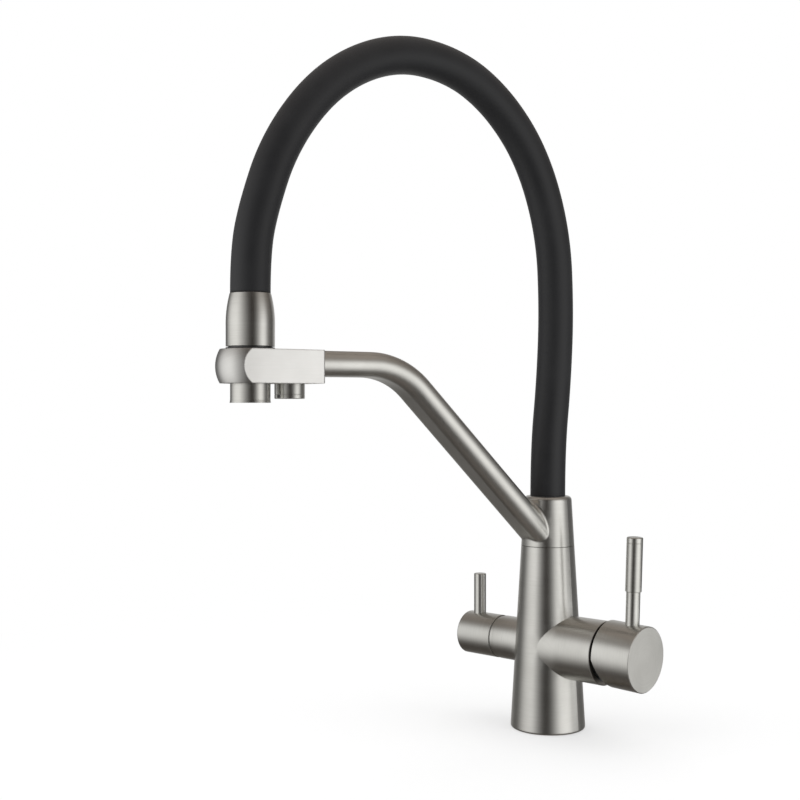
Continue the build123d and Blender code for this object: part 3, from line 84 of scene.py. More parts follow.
class Shader:
    """A material's node tree, with short ways to add and join its nodes."""

    def __init__(self, name):
        self.material = bpy.data.materials.new(name)
        self.material.use_nodes = True
        self.tree = self.material.node_tree
        self.base = self.tree.nodes["Principled BSDF"]
        self.place = self.tree.nodes.new("ShaderNodeTexCoord").outputs["Object"]

    def node(self, kind, **values):
        """Node of a kind. Values set its own properties, or its sockets where no property has the name."""
        made = self.tree.nodes.new("ShaderNode" + kind)
        for name, value in values.items():
            if hasattr(made, name):
                setattr(made, name, value)
            else:
                self.feed(value, made.inputs[name.replace("_", " ")])
        return made

    def feed(self, value, socket):
        """Joins an output to a socket, or sets a plain value on it."""
        if isinstance(value, bpy.types.NodeSocket):
            self.tree.links.new(value, socket)
        else:
            socket.default_value = value

    def set(self, **values):
        """Feeds the base surface's sockets."""
        for name, value in values.items():
            self.feed(value, self.base.inputs[name.replace("_", " ")])

    def math(self, operation, a, b=0.0, c=0.0):
        made = self.node("Math", operation=operation)
        for value, socket in zip((a, b, c), made.inputs):
            self.feed(value, socket)
        return made.outputs[0]

    def vector(self, operation, a, b=(0, 0, 0), output="Vector"):
        made = self.node("VectorMath", operation=operation)
        self.feed(a, made.inputs[0])
        self.feed(b, made.inputs[1])
        return made.outputs[output]

    def along(self, axis):
        """How far along an axis a place lies."""
        return self.vector("DOT_PRODUCT", self.place, axis, "Value")

    def span(self, value, low, high, to_low, to_high):
        """A value's stretch from low to high, mapped to another stretch and held at its ends."""
        made = self.node("MapRange")
        for number, socket in zip((value, low, high, to_low, to_high), made.inputs):
            self.feed(number, socket)
        return made.outputs[0]

    def share(self, value, low, high):
        """From 0 to 1 where a value goes from low to high."""
        return self.span(value, low, high, 0.0, 1.0)

    def noise(self, vector, scale, detail=2.0, roughness=0.5):
        made = self.node("TexNoise", Scale=scale, Detail=detail, Roughness=roughness)
        self.feed(vector, made.inputs["Vector"])
        return made.outputs["Fac"]

    def line_noise(self, lines, stretch):
        """Noise that changes quickly with the lines' own value and slowly with a stretched place."""
        made = self.node("TexNoise", noise_dimensions="4D", Scale=1.0, W=lines, Vector=stretch)
        made.inputs["Detail"].default_value = LINE_DETAIL
        made.inputs["Roughness"].default_value = LINE_ROUGHNESS
        return made.outputs["Fac"]

    def mix(self, kind, share, low, high):
        """Value, direction or colour between two others."""
        made = self.node("Mix", data_type=kind)
        sockets = [socket for socket in made.inputs if socket.enabled]
        for value, socket in zip((share, low, high), sockets):
            self.feed(value, socket)
        return next(socket for socket in made.outputs if socket.enabled)

    def ramp(self, share, low, high, stops):
        """Level between stops, each a place and a level, where the share runs from low to high."""
        made = self.node("ValToRGB")
        made.color_ramp.interpolation = "LINEAR"
        elements = made.color_ramp.elements
        elements.remove(elements[-1])
        elements[0].position = 0.0
        elements[0].color = grey(stops[0][1])
        for place, level in stops[1:]:
            elements.new((place - low) / (high - low)).color = grey(level)
        self.feed(share, made.inputs[0])
        return made.outputs[0]

    def cloudy(self, cloud, dark, light, rough_low, rough_high):
        """Colour and roughness that both follow a noise."""
        self.set(Base_Color=self.mix("RGBA", self.share(cloud, *NOISE_SPAN), dark, light))
        self.set(Roughness=self.span(cloud, *NOISE_SPAN, rough_low, rough_high))

    def bump(self, height, distance, strength, normal=None):
        made = self.node("Bump", Strength=strength, Distance=distance, Height=height)
        if normal is not None:
            self.feed(normal, made.inputs["Normal"])
        self.set(Normal=made.outputs[0])

    def show(self, surface):
        """Shows a surface in place of the base one. It glows, and isn't sampled as a lamp."""
        self.feed(surface, self.tree.nodes["Material Output"].inputs["Surface"])
        self.material.cycles.emission_sampling = "NONE"

    def show_between(self, share, low, high):
        """Shows a surface between two others."""
        made = self.node("MixShader")
        for value, socket in zip((share, low, high), made.inputs):
            self.feed(value, socket)
        self.show(made.outputs[0])


# Places and directions that the metal's grain follows, in metres
ORIGIN = Vector((0, 0, 0))
VALVE_CENTRE = Vector((0, 0, 0.05875))
SPRAY_REACH, OUTLET_REACH = 0.2338, 0.2068
SPRAY_FOOT = ARM_DIRECTION * SPRAY_REACH
OUTLET_FOOT = ARM_DIRECTION * OUTLET_REACH
LEVER_LEAN = math.radians(2.0)
CAP_WAY = Vector((math.cos(LEVER_LEAN), 0, -math.sin(LEVER_LEAN)))
PIN_WAY = Vector((math.sin(LEVER_LEAN), 0, math.cos(LEVER_LEAN)))
PIN_FOOT = Vector((0.0695, 0, 0.05793))
FILTER_PIN_FOOT = Vector((-0.06235, 0, 0))
TOWER_RADIUS, TOWER_TAPER = 0.0265, 0.0592
MIXER_BARREL_END = 0.05
COLLAR_REACH = 0.0195
ARM_CORNER_REACH, ARM_LEVEL = 0.1296, 0.2553
ARM_SLOPE = 0.981
ARM_SLOPE_ANGLE = math.atan(ARM_SLOPE)
BLOCK_HALF_WIDTH = 0.0174

# How far the grain takes to change where two stretches of a surface meet, in metres
BARREL_BLEND = 0.006
COLLAR_BLEND = 0.003
ARM_BLEND = 0.012
NOSE_BLEND = 0.002

# Depths behind a flat face, in metres, between which its colour takes over: painted shade on the mixer
# barrel's end face, and the block's own paler colour on its flat sides
FACE_DEPTHS = (0.0003, 0.0001)
BLOCK_FACE_DEPTHS = (0.0004, 0.0001)

# Colours of the brushed metal, from the dark to the light of its grain, and painted shade on the mixer
# barrel's end face
NICKEL = ((0.642, 0.637, 0.606, 1), (0.768, 0.764, 0.733, 1))
BLOCK_FACE = ((0.880, 0.878, 0.862, 1), (0.972, 0.970, 0.955, 1))
BLOCK_NOSE = ((0.700, 0.697, 0.680, 1), (0.800, 0.797, 0.780, 1))
# Painted shade: a dark brown for the mixer barrel's end face, in the gap by the cap
END_FACE_PAINTED_SHADE = (0.20, 0.185, 0.17, 1)

# Brushed grain: how many lines and how many lengths of a line go on a metre, and the noises that shape it
GRAIN_LINES = 1500.0
GRAIN_LENGTH = 70.0
BELT_LENGTH = 3 * GRAIN_LENGTH
BLOCK_LENGTH = GRAIN_LENGTH / 2
BLOCK_SIDE_LINES = 0.35
LINE_DETAIL, LINE_ROUGHNESS = 4.0, 0.72
BROAD_SCALE, BROAD_DETAIL = 30.0, 3.0
SMUDGE_SCALE, SMUDGE_DETAIL, SMUDGE_ROUGHNESS = 75.0, 4.0, 0.65

# What they do to tone and roughness: low and high of the noise, and the low and high that these become
GRAIN_TONE = (0.25, 0.75, 0.15, 0.85)
BROAD_TONE = (0.35, 0.65, -0.3, 0.3)
SMUDGE_ROUGH = (0.35, 0.65, -0.012, 0.018)

# Low and high of a noise elsewhere, and how far it then takes the roughness down and up
NOISE_SPAN = (0.3, 0.7)
GRAIN_ROUGH = 0.015
CLOUD_ROUGH = 0.04
MARK_SMOOTHER, MARK_ROUGHER = 0.04, 0.05

# Relief of the grain, the quarter turn from its lines to its streaks, and two ways of satin
GRAIN_RELIEF, GRAIN_STRENGTH = 0.000006, 0.35
GRAIN_TURN = 0.25
SATIN = {"rough": 0.30, "spread": 0.55, "edge_round": 0.0003}
BLOCK_SATIN = {"rough": 0.34, "spread": 0.80, "edge_round": 0.0011}
EDGE_SAMPLES = 4

# Turning marks of plain metal, cloud and skin of moulded pieces, and the hose's black sleeve
MARK_STRETCH, MARK_DETAIL = (120.0, 120.0, 5000.0), 3.0
MARK_RELIEF, MARK_STRENGTH = 0.00003, 0.5
SKIN_SCALE, SKIN_RELIEF, SKIN_STRENGTH = 1500.0, 0.00003, 0.3
CLOUD_SCALE, CLOUD_DETAIL, CLOUD_ROUGHNESS = 60.0, 4.0, 0.6
SLEEVE_DARK = (0.0118, 0.0123, 0.0142, 1)
SLEEVE_LIGHT = (0.0168, 0.0173, 0.0192, 1)
SLEEVE_ROUGH = (0.47, 0.55)
SLEEVE_SHEEN, SLEEVE_SHEEN_ROUGHNESS = 0.08, 0.4
SLEEVE_SKIN_SCALE, SLEEVE_SKIN_RELIEF, SLEEVE_SKIN_STRENGTH = 2600.0, 0.00005, 0.35
SLEEVE_CLOUD_SCALE = 34.0


def turned_lines(s, origin, axis):
    """Fine lines round an axis, as a lathe leaves them, and the direction that they run in."""
    from_origin = s.vector("SUBTRACT", s.place, origin)
    along = s.vector("DOT_PRODUCT", from_origin, axis, "Value")
    lift = s.node("VectorMath", operation="SCALE", Scale=along)
    lift.inputs[0].default_value = axis
    outward = s.vector("SUBTRACT", from_origin, lift.outputs[0])
    out = s.vector("LENGTH", outward, output="Value")
    lines = s.math("MULTIPLY", s.math("ADD", along, out), GRAIN_LINES)
    around = s.vector("CROSS_PRODUCT", axis, outward)
    return s.line_noise(lines, s.vector("MULTIPLY", from_origin, (GRAIN_LENGTH,) * 3)), around


def belt_lines(s):
    """Fine lines along the arm, on its slope and on its level end, and the direction that they run in."""
    slope_across = UP * math.cos(ARM_SLOPE_ANGLE) - ARM_DIRECTION * math.sin(ARM_SLOPE_ANGLE)
    slope_along = UP * math.sin(ARM_SLOPE_ANGLE) + ARM_DIRECTION * math.cos(ARM_SLOPE_ANGLE)
    corner = ARM_DIRECTION * ARM_CORNER_REACH + UP * ARM_LEVEL
    on_slope = s.vector("DOT_PRODUCT", s.vector("SUBTRACT", s.place, corner), slope_across, "Value")
    on_level = s.math("SUBTRACT", s.along(UP), ARM_LEVEL)
    reach = s.along(ARM_DIRECTION)
    level_share = s.share(reach, ARM_CORNER_REACH - ARM_BLEND, ARM_CORNER_REACH + ARM_BLEND)
    across = s.mix("FLOAT", level_share, on_slope, on_level)
    lines = s.math("MULTIPLY", s.math("ADD", across, s.along(ARM_SIDE)), GRAIN_LINES)
    way = s.mix("VECTOR", level_share, slope_along, ARM_DIRECTION)
    return s.line_noise(lines, s.vector("MULTIPLY", s.place, (BELT_LENGTH,) * 3)), way


def satin(s, grain, way, dark, light, rough, spread, edge_round):
    """Satin metal over a grain: uneven, faintly smudged, and mirroring in streaks across its lines."""
    broad = s.noise(s.place, BROAD_SCALE, BROAD_DETAIL)
    smudge = s.noise(s.place, SMUDGE_SCALE, SMUDGE_DETAIL, SMUDGE_ROUGHNESS)
    tone = s.math("ADD", s.span(grain, *GRAIN_TONE), s.span(broad, *BROAD_TONE))
    brushed = s.span(grain, *NOISE_SPAN, rough - GRAIN_ROUGH, rough + GRAIN_ROUGH)
    uneven = s.math("ADD", brushed, s.span(smudge, *SMUDGE_ROUGH))
    s.set(Metallic=1.0, Base_Color=s.mix("RGBA", tone, dark, light))
    s.set(Roughness=uneven, Anisotropic=spread, Anisotropic_Rotation=GRAIN_TURN)
    turned = s.node("VectorTransform", vector_type="VECTOR", convert_from="OBJECT", convert_to="WORLD")
    s.feed(way, turned.inputs[0])
    s.set(Tangent=turned.outputs[0])
    edge = s.node("Bevel", samples=EDGE_SAMPLES, Radius=edge_round)
    s.bump(grain, GRAIN_RELIEF, GRAIN_STRENGTH, edge.outputs[0])


def turned_nickel(name, origin, axis):
    """Satin nickel, turned about one axis."""
    s = Shader(name)
    satin(s, *turned_lines(s, origin, axis), *NICKEL, **SATIN)
    return s.material


def casting_nickel(name):
    """Satin nickel of the tower and its barrels, each turned about its own axis, with painted shade on an end
    face.
    """
    s = Shader(name)
    upright, upright_way = turned_lines(s, ORIGIN, UP)
    level, level_way = turned_lines(s, VALVE_CENTRE, ACROSS)
    along = s.along(ACROSS)
    out = s.math("ABSOLUTE", along)
    tower_edge = s.math("SUBTRACT", TOWER_RADIUS, s.math("MULTIPLY", s.along(UP), TOWER_TAPER))
    barrel_share = s.share(s.math("SUBTRACT", out, tower_edge), -BARREL_BLEND, 0.0)
    # Painted shade: the mixer barrel's end face, in the gap by the cap, takes a dark brown colour
    face_share = s.share(along, *(MIXER_BARREL_END - depth for depth in FACE_DEPTHS))
    grain = s.mix("FLOAT", barrel_share, upright, level)
    way = s.mix("VECTOR", barrel_share, upright_way, level_way)
    colours = [s.mix("RGBA", face_share, colour, END_FACE_PAINTED_SHADE) for colour in NICKEL]
    satin(s, grain, way, *colours, **SATIN)
    return s.material


def spout_nickel(name):
    """Satin nickel of the collar, turned, and of the arm, belt ground."""
    s = Shader(name)
    turned, turned_way = turned_lines(s, ORIGIN, UP)
    ground, ground_way = belt_lines(s)
    reach = s.along(ARM_DIRECTION)
    arm_share = s.share(reach, COLLAR_REACH - COLLAR_BLEND, COLLAR_REACH + COLLAR_BLEND)
    grain = s.mix("FLOAT", arm_share, turned, ground)
    way = s.mix("VECTOR", arm_share, turned_way, ground_way)
    satin(s, grain, way, *NICKEL, **SATIN)
    return s.material


def block_nickel(name):
    """Satin nickel, ground level along the block's paler flat sides and round its nose."""
    s = Shader(name)
    side = s.along(ARM_SIDE)
    slant = s.math("ADD", s.along(UP), s.math("MULTIPLY", side, BLOCK_SIDE_LINES))
    lines = s.math("MULTIPLY", slant, GRAIN_LINES)
    grain = s.line_noise(lines, s.vector("MULTIPLY", s.place, (BLOCK_LENGTH,) * 3))
    from_head = s.vector("SUBTRACT", s.place, SPRAY_FOOT)
    ahead = s.vector("DOT_PRODUCT", from_head, ARM_DIRECTION, "Value")
    nose_share = s.share(ahead, -NOSE_BLEND, NOSE_BLEND)
    way = s.mix("VECTOR", nose_share, ARM_DIRECTION, s.vector("CROSS_PRODUCT", UP, from_head))
    out = s.math("ABSOLUTE", side)
    face_share = s.share(out, *(BLOCK_HALF_WIDTH - depth for depth in BLOCK_FACE_DEPTHS))
    colours = [s.mix("RGBA", face_share, nose, face) for nose, face in zip(BLOCK_NOSE, BLOCK_FACE)]
    satin(s, grain, way, *colours, **BLOCK_SATIN)
    return s.material


def black_sleeve(name):
    """Matte black silicone with a fine skin and a little dust in it."""
    s = Shader(name)
    cloud = s.noise(s.place, SLEEVE_CLOUD_SCALE, CLOUD_DETAIL, CLOUD_ROUGHNESS)
    s.cloudy(cloud, SLEEVE_DARK, SLEEVE_LIGHT, *SLEEVE_ROUGH)
    s.set(Sheen_Weight=SLEEVE_SHEEN, Sheen_Roughness=SLEEVE_SHEEN_ROUGHNESS)
    s.bump(s.noise(s.place, SLEEVE_SKIN_SCALE), SLEEVE_SKIN_RELIEF, SLEEVE_SKIN_STRENGTH)
    return s.material


def plain_metal(name, dark, light, roughness):
    """Machined metal with turning marks."""
    s = Shader(name)
    s.set(Metallic=1.0)
    marks = s.noise(s.vector("MULTIPLY", s.place, MARK_STRETCH), 1.0, MARK_DETAIL)
    s.cloudy(marks, dark, light, roughness - MARK_SMOOTHER, roughness + MARK_ROUGHER)
    s.bump(marks, MARK_RELIEF, MARK_STRENGTH)
    return s.material


def moulded(name, dark, light, roughness):
    """Moulded plastic, rubber or ceramic with a fine even texture."""
    s = Shader(name)
    cloud = s.noise(s.place, CLOUD_SCALE, CLOUD_DETAIL, CLOUD_ROUGHNESS)
    s.cloudy(cloud, dark, light, roughness - CLOUD_ROUGH, roughness + CLOUD_ROUGH)
    s.bump(s.noise(s.place, SKIN_SCALE), SKIN_RELIEF, SKIN_STRENGTH)
    return s.material


# Material of each CAD node
MATERIALS = {
    casting_nickel("nickel_casting_shaded_end"): ("body_casting",),
    spout_nickel("nickel_spout"): ("spout_arm",),
    block_nickel("nickel_block"): ("dock_block",),
    turned_nickel("nickel_spray", SPRAY_FOOT, UP): ("spray_sleeve", "spray_barrel"),
    turned_nickel("nickel_outlet", OUTLET_FOOT, UP): ("filter_outlet",),
    turned_nickel("nickel_cap", VALVE_CENTRE, CAP_WAY): ("mixer_cap",),
    turned_nickel("nickel_pin", PIN_FOOT, PIN_WAY): ("mixer_pin", "mixer_grip"),
    turned_nickel("nickel_knob", VALVE_CENTRE, ACROSS): ("filter_knob", "filter_valve_body"),
    turned_nickel("nickel_filter_pin", FILTER_PIN_FOOT, UP): ("filter_pin",),
    plain_metal("brass", (0.60, 0.44, 0.20, 1), (0.72, 0.54, 0.27, 1), 0.34): (
        "mounting_shank", "mounting_nut", "swivel_spigot", "cartridge_stem", "filter_spindle",
        "hose_tail", "hose_ferrule", "hose_nut"),
    plain_metal("dark_nickel", grey(0.10), grey(0.16), 0.36): ("cartridge_nut", "seat_ring"),
    plain_metal("steel", grey(0.50), grey(0.60), 0.30): (
        "deck_washer", "lever_pivot_pin", "cap_grub_screw", "knob_grub_screw", "collar_grub_screw"),
    moulded("rubber", grey(0.018), grey(0.030), 0.68): (
        "base_seal", "deck_rubber", "spigot_o_rings", "port_seals", "filter_valve_seal", "aerator_washer",
        "hose_washer", "face_seal"),
    moulded("black_plastic", grey(0.020), grey(0.028), 0.42): (
        "trim_dome", "dock_bush", "cartridge_base", "cartridge_housing", "lever_carrier", "disc_carrier",
        "check_valve"),
    moulded("white_plastic", grey(0.72), grey(0.80), 0.40): ("bearing_ring", "filter_tube"),
    moulded("grey_plastic", grey(0.22), grey(0.27), 0.45): ("filter_aerator", "spray_face"),
    moulded("ceramic", grey(0.78, 0.02), grey(0.86, 0.02), 0.22): (
        "fixed_disc", "moving_disc", "filter_fixed_disc", "filter_moving_disc"),
}
sleeve_material = black_sleeve("hose_black")
spring_material = plain_metal("spring_steel", grey(0.45), grey(0.55), 0.32)
inner_material = moulded("inner_hose_skin", grey(0.72), grey(0.80), 0.5)


def dress_nodes():
    for material, names in MATERIALS.items():
        for name in names:
            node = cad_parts[name]
            node.data.materials.clear()
            node.data.materials.append(material)


# Hose, in millimetres: the points of its route, as reach and height in the plane of the arm
HOSE_POINTS = [
    (0, 160), (0, 197), (-5.5, 246), (-8, 297), (-5, 352), (13.5, 404), (44.5, 440), (82, 460), (130, 462.5),
    (177.5, 439), (213, 395), (230.2, 345), (233.8, 318), (233.8, 297.6),
]

# Radii of its sleeve and of the water hose in it, and how finely they are made
HOSE_OUTER, HOSE_BORE = 12.4, 9.7
INNER_OUTER, INNER_BORE = 7.8, 5.0
HOSE_ORDER, HOSE_FINENESS = 3, 24
HOSE_RINGS, HOSE_SIDES = 260, 56

# Least distance that is divided by
TINY = 1e-12

# Support spring between the two: radii of its turns and of its wire, its pitch, its distance from the hose's
# ends, and the steps of a turn and sides of the wire
SPRING_PLACE, SPRING_WIRE, SPRING_PITCH = 8.85, 0.65, 2.6
SPRING_MARGIN = 12.0
SPRING_STEPS, SPRING_SIDES = 14, 6


def hose_line():
    """Places on the hose's smooth centre line, in metres."""
    curve = bpy.data.curves.new("hose_route", "CURVE")
    curve.dimensions = "3D"
    curve.resolution_u = HOSE_FINENESS
    spline = curve.splines.new("NURBS")
    spline.points.add(len(HOSE_POINTS) - 1)
    for point, (reach, height) in zip(spline.points, HOSE_POINTS):
        point.co = (*(ARM_DIRECTION * reach * MM + Vector((0, 0, height * MM))), 1)
    spline.use_endpoint_u = True
    spline.order_u = HOSE_ORDER
    route = bpy.data.objects.new("hose_route", curve)
    scene.collection.objects.link(route)
    bpy.context.view_layer.update()
    mesh = bpy.data.meshes.new_from_object(route)
    places = [v.co.copy() for v in mesh.vertices]
    bpy.data.objects.remove(route)
    bpy.data.meshes.remove(mesh)
    return places


def evenly(places, count):
    """The same line, at count places a steady distance apart."""
    lengths = [0.0]
    for a, b in zip(places, places[1:]):
        lengths.append(lengths[-1] + (b - a).length)
    found, k = [], 0
    for i in range(count):
        target = lengths[-1] * i / (count - 1)
        while k < len(lengths) - 2 and lengths[k + 1] < target:
            k += 1
        share = (target - lengths[k]) / max(lengths[k + 1] - lengths[k], TINY)
        found.append(places[k].lerp(places[k + 1], min(share, 1.0)))
    return found


def directions(places):
    """Direction of a line at each of its places."""
    ends = zip([places[0]] + places[:-1], places[1:] + [places[-1]])
    return [(b - a).normalized() for a, b in ends]


def circle(a, b, sides):
    """Unit steps round a circle, from one direction towards another."""
    angles = [2 * math.pi * k / sides for k in range(sides)]
    return [a * math.cos(angle) + b * math.sin(angle) for angle in angles]


def ring_faces(rings, sides, first=0, closed=False, inward=False):
    """Faces between rings of vertices that follow each other, from the first vertex on."""
    faces = []
    for i in range(rings if closed else rings - 1):
        a, b = first + i * sides, first + (i + 1) % rings * sides
        for k in range(sides):
            m = (k + 1) % sides
            faces.append((a + k, b + k, b + m, a + m) if inward else (a + k, a + m, b + m, b + k))
    return faces


def add_piece(name, vertices, faces, material):
    mesh = bpy.data.meshes.new(name)
    mesh.from_pydata([tuple(v) for v in vertices], [], faces)
    mesh.materials.append(material)
    mesh.polygons.foreach_set("use_smooth", [True] * len(mesh.polygons))
    mesh.update()
    piece = bpy.data.objects.new(name, mesh)
    scene.collection.objects.link(piece)
    return piece


def hose_layer(name, places, outer, bore, material):
    """Wall of a hose: rings round its line, up the outer skin and back down the bore."""
    last = len(places) - 1
    profile = [(i, outer) for i in range(last + 1)] + [(i, bore) for i in range(last, -1, -1)]
    ways = directions(places)
    vertices = []
    for i, radius in profile:
        for step in circle(ARM_SIDE, ways[i].cross(ARM_SIDE), HOSE_SIDES):
            vertices.append(places[i] + step * radius * MM)
    return add_piece(name, vertices, ring_faces(len(profile), HOSE_SIDES, closed=True), material)


def wound_spring(name, places, material):
    """Wire wound round the line in a close helix."""
    spacing = (places[1] - places[0]).length
    ways = directions(places)
    first = round(SPRING_MARGIN * MM / spacing)
    usable = len(places) - 1 - 2 * first
    turns = usable * spacing / (SPRING_PITCH * MM)
    steps = int(turns * SPRING_STEPS)
    vertices = []
    for i in range(steps + 1):
        at = first + usable * i / steps
        k = min(int(at), len(places) - 2)
        centre = places[k].lerp(places[k + 1], at - k)
        way = ways[k].lerp(ways[k + 1], at - k).normalized()
        angle = 2 * math.pi * turns * i / steps
        out = ARM_SIDE * math.cos(angle) + way.cross(ARM_SIDE) * math.sin(angle)
        for step in circle(out, way, SPRING_SIDES):
            vertices.append(centre + (out * SPRING_PLACE + step * SPRING_WIRE) * MM)
    faces = ring_faces(steps + 1, SPRING_SIDES, inward=True)
    end = len(vertices)
    faces += [tuple(range(SPRING_SIDES)), tuple(range(end - 1, end - 1 - SPRING_SIDES, -1))]
    return add_piece(name, vertices, faces, material)


def make_hose():
    """The hose's three layers, which stretch between the spout and the spray head."""
    places = evenly(hose_line(), HOSE_RINGS)
    for piece, node in (
        (hose_layer("hose_sleeve", places, HOSE_OUTER, HOSE_BORE, sleeve_material), "hose_jacket"),
        (wound_spring("hose_coil", places, spring_material), "hose_spring"),
        (hose_layer("water_hose", places, INNER_OUTER, INNER_BORE, inner_material), "inner_hose"),
    ):
        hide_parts(node)
        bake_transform(piece)


# Studio: a pale floor, a white world and three lamps, with a lit ball, a dark flag and a small card that only
# shape what the metal mirrors. Turns are from the camera's side, in degrees, and lengths are in metres.
WHITE = (1, 1, 1, 1)
WORLD_LIGHT = 0.70
FLOOR_RINGS, FLOOR_SIDES, FLOOR_DROP = (0.3, 0.8, 2.0, 6.0), 96, 0.0003
FLOOR_COLOUR, FLOOR_ROUGHNESS = (0.93, 0.93, 0.93, 1), 0.9
# Share of plain white in the floor's own colour, between two distances from the tap
FLOOR_WHITE = (0.10, 0.60, 0.50, 1.0)

# Each lamp's name, turn, rise in degrees, size and power in watts
LAMPS = [("lamp_left", -60, 35, 1.7, 9), ("lamp_right", 62, 35, 1.7, 9), ("lamp_top", 180, 70, 1.8, 7)]
LAMP_DISTANCE = 1.6

# Ball of light, warm where it is plain and nearly white in the softboxes
BALL_RADIUS = 0.8
BALL_CENTRE = Vector((0, 0, 0.2))
BALL_ROWS, BALL_TURNS = 48, 96
BOX_TINT = (1.0, 0.993, 0.978, 1)
ROOM_TINT = (1.0, 0.875, 0.775, 1)

# Level of the softboxes at each turn
SIDE_GAIN = 1.25
SIDE_LIGHT = [
    (-180, 0.48), (-164, 0.44), (-146, 0.26), (-130, 0.12), (-112, 0.11), (-101, 0.23), (-88, 0.51),
    (-76, 0.73), (-62, 0.83), (-45, 0.85), (45, 0.92), (64, 1.00), (75, 0.84), (86, 0.46), (97, 0.19),
    (112, 0.09), (138, 0.12), (152, 0.20), (166, 0.42), (180, 0.48),
]

# How much of the softboxes shows at each rise in degrees, with the left one higher than the right one by
# twice the tilt, and the plain light above and below them
SIDE_TILT = 4.0
SIDE_SHARE = [
    (-90, 0.0), (-58, 0.03), (-47, 0.20), (-36, 0.50), (-26, 0.78), (-15, 0.92), (-4, 0.98), (8, 1.0),
    (16, 0.86), (26, 0.48), (38, 0.14), (50, 0.0), (90, 0.0),
]
PLAIN_LIGHT = [
    (-90, 0.14), (-72, 0.13), (-60, 0.06), (-47, 0.06), (0, 0.15), (38, 0.20), (50, 0.27), (62, 0.34),
    (90, 0.46),
]

# Dark flag in front of the tap, between the softboxes: its density at each turn
FLAG_RADIUS = 0.48
FLAG_LOW, FLAG_HIGH = -0.9, 1.3
FLAG_LEVEL = 0.022
FLAG_STEPS = 40
FLAG_DENSITY = [
    (-50, 0.0), (-40, 0.36), (-30, 0.68), (-19, 0.90), (-8, 0.99), (2, 0.97), (12, 0.85), (22, 0.60),
    (31, 0.30), (42, 0.0),
]

# Small card beside the mixer lever, which its flat end mirrors
CARD_PLACE = Vector((0.205, 0.165, 0.008))
CARD_SIZE = (0.085, 0.11)
CARD_LEVEL = 0.85


def glowing(name, colour, level):
    """Shader of a studio piece that only glows, and its glow."""
    s = Shader(name)
    s.tree.nodes.remove(s.base)
    glow = s.node("Emission", Color=colour, Strength=level)
    s.show(glow.outputs[0])
    return s, glow


def turn_and_height(s):
    """Turn round the tap from the camera's side, from 0 to 1 over the whole circle, and height."""
    parts = s.node("SeparateXYZ", Vector=s.place).outputs
    turn = s.math("ARCTAN2", parts["X"], s.math("MULTIPLY", parts["Y"], -1.0))
    return s.math("MULTIPLY_ADD", turn, 0.5 / math.pi, 0.5), parts["Z"]


def studio_piece(name, vertices, faces, material):
    """Studio piece that only mirrors see."""
    made = add_piece(name, vertices, faces, material)
    made.visible_camera = made.visible_diffuse = made.visible_shadow = False
    made.visible_transmission = made.visible_volume_scatter = False
    return made


def make_ball():
    """Ball of light round the tap: a softbox on each side, and plain light above and below."""
    s, glow = glowing("studio_ball", BOX_TINT, 1.0)
    turn, height = turn_and_height(s)
    rise = s.math("ARCSINE", s.math("DIVIDE", height, BALL_RADIUS))
    rise_share = s.math("MULTIPLY_ADD", rise, 1 / math.pi, 0.5)
    side = s.math("MULTIPLY", s.ramp(turn, -180, 180, SIDE_LIGHT), SIDE_GAIN)
    tilt = s.math("SINE", s.math("MULTIPLY_ADD", turn, 2 * math.pi, -math.pi))
    share = s.ramp(s.math("MULTIPLY_ADD", tilt, SIDE_TILT / 180, rise_share), -90, 90, SIDE_SHARE)
    plain = s.ramp(rise_share, -90, 90, PLAIN_LIGHT)
    boxes = s.math("MULTIPLY", side, share)
    total = s.math("ADD", boxes, s.math("MULTIPLY", plain, s.math("SUBTRACT", 1.0, share)))
    s.feed(total, glow.inputs["Strength"])
    s.feed(s.mix("RGBA", s.math("DIVIDE", boxes, total), ROOM_TINT, BOX_TINT), glow.inputs["Color"])
    vertices = []
    for i in range(BALL_ROWS + 1):
        level = math.pi * (i / BALL_ROWS - 0.5)
        for k in range(BALL_TURNS):
            vertices.append(facing(2 * math.pi * k / BALL_TURNS, level) * BALL_RADIUS)
    ball = studio_piece("studio_ball", vertices, ring_faces(BALL_ROWS + 1, BALL_TURNS), s.material)
    ball.location = BALL_CENTRE
    ball.rotation_euler.z = CAMERA_AZIMUTH


def make_flag():
    """Upright dark flag with soft sides, close in front of the tap."""
    s, glow = glowing("studio_flag", ROOM_TINT, FLAG_LEVEL)
    turn, _ = turn_and_height(s)
    density = s.ramp(turn, -180, 180, [(-180, 0.0), *FLAG_DENSITY, (180, 0.0)])
    s.show_between(density, s.node("BsdfTransparent").outputs[0], glow.outputs[0])
    first, last = FLAG_DENSITY[0][0], FLAG_DENSITY[-1][0]
    vertices = []
    for i in range(FLAG_STEPS + 1):
        out = facing(math.radians(first + (last - first) * i / FLAG_STEPS)) * FLAG_RADIUS
        vertices += [out + UP * FLAG_LOW, out + UP * FLAG_HIGH]
    faces = [(i, i + 1, i + 3, i + 2) for i in range(0, 2 * FLAG_STEPS, 2)]
    flag = studio_piece("studio_flag", vertices, faces, s.material)
    flag.rotation_euler.z = CAMERA_AZIMUTH


def make_card():
    """Small bright card that faces the mixer lever's flat end."""
    s, _ = glowing("studio_card", BOX_TINT, CARD_LEVEL)
    x, y = (size / 2 for size in CARD_SIZE)
    corners = [(-x, -y, 0), (x, -y, 0), (x, y, 0), (-x, y, 0)]
    card = studio_piece("studio_card", corners, [(0, 1, 2, 3)], s.material)
    card.location = CARD_PLACE
    card.rotation_euler = (CARD_PLACE - PIN_FOOT).to_track_quat("Z", "Y").to_euler()


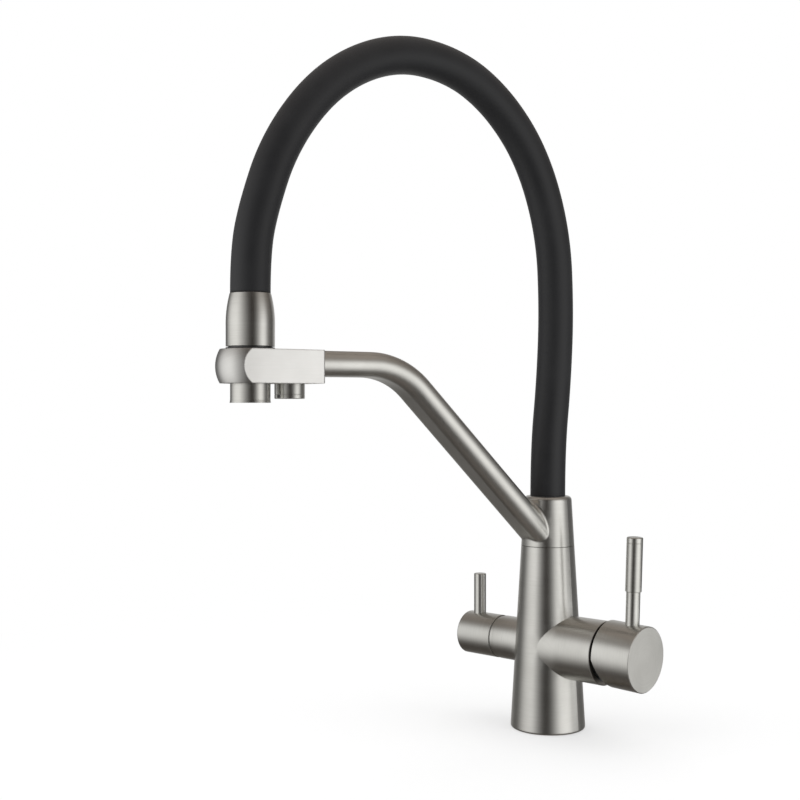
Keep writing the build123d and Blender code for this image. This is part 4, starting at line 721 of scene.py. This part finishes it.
def make_world():
    """White behind the object and in what it mirrors, and a plain even light on it."""
    world = bpy.data.worlds.new("world")
    world.use_nodes = True
    scene.world = world
    tree = world.node_tree
    tree.nodes.clear()
    path = tree.nodes.new("ShaderNodeLightPath")
    seen = path.outputs["Is Camera Ray"]
    for name in ("Is Glossy Ray", "Is Transmission Ray"):
        either = tree.nodes.new("ShaderNodeMath")
        either.operation = "MAXIMUM"
        tree.links.new(seen, either.inputs[0])
        tree.links.new(path.outputs[name], either.inputs[1])
        seen = either.outputs[0]
    level = tree.nodes.new("ShaderNodeMapRange")
    level.inputs["To Min"].default_value = WORLD_LIGHT
    tree.links.new(seen, level.inputs["Value"])
    back = tree.nodes.new("ShaderNodeBackground")
    back.inputs["Color"].default_value = WHITE
    tree.links.new(level.outputs[0], back.inputs["Strength"])
    out = tree.nodes.new("ShaderNodeOutputWorld")
    tree.links.new(back.outputs[0], out.inputs[0])
    world.cycles.sampling_method = "NONE"


def make_floor():
    """Pale floor that runs into the white behind it."""
    middle = -UP * FLOOR_DROP
    vertices = [middle]
    for radius in FLOOR_RINGS:
        vertices += [middle + step * radius for step in circle(ACROSS, UP.cross(ACROSS), FLOOR_SIDES)]
    faces = [(0, 1 + k, 1 + (k + 1) % FLOOR_SIDES) for k in range(FLOOR_SIDES)]
    faces += ring_faces(len(FLOOR_RINGS), FLOOR_SIDES, first=1, inward=True)
    s = Shader("floor")
    s.set(Base_Color=FLOOR_COLOUR, Roughness=FLOOR_ROUGHNESS, Specular_IOR_Level=0.0)
    share = s.span(s.vector("LENGTH", s.place, output="Value"), *FLOOR_WHITE)
    white = s.node("Emission", Color=WHITE, Strength=1.0)
    s.show_between(share, s.base.outputs[0], white.outputs[0])
    floor = add_piece("floor", vertices, faces, s.material)
    floor.visible_glossy = floor.visible_diffuse = False


def make_lamp(name, turn, rise, size, power):
    """Soft square lamp that looks at the tap."""
    data = bpy.data.lights.new(name, "AREA")
    data.shape = "SQUARE"
    data.size = size
    data.energy = power
    lamp = bpy.data.objects.new(name, data)
    out = facing(CAMERA_AZIMUTH + math.radians(turn), math.radians(rise))
    lamp.location = BALL_CENTRE + out * LAMP_DISTANCE
    lamp.rotation_euler = out.to_track_quat("Z", "Y").to_euler()
    lamp.visible_camera = lamp.visible_glossy = False
    scene.collection.objects.link(lamp)


make_camera()
dress_nodes()
make_hose()
make_world()
make_floor()
make_ball()
make_flag()
make_card()
for values in LAMPS:
    make_lamp(*values)
scene.view_settings.view_transform = "Standard"
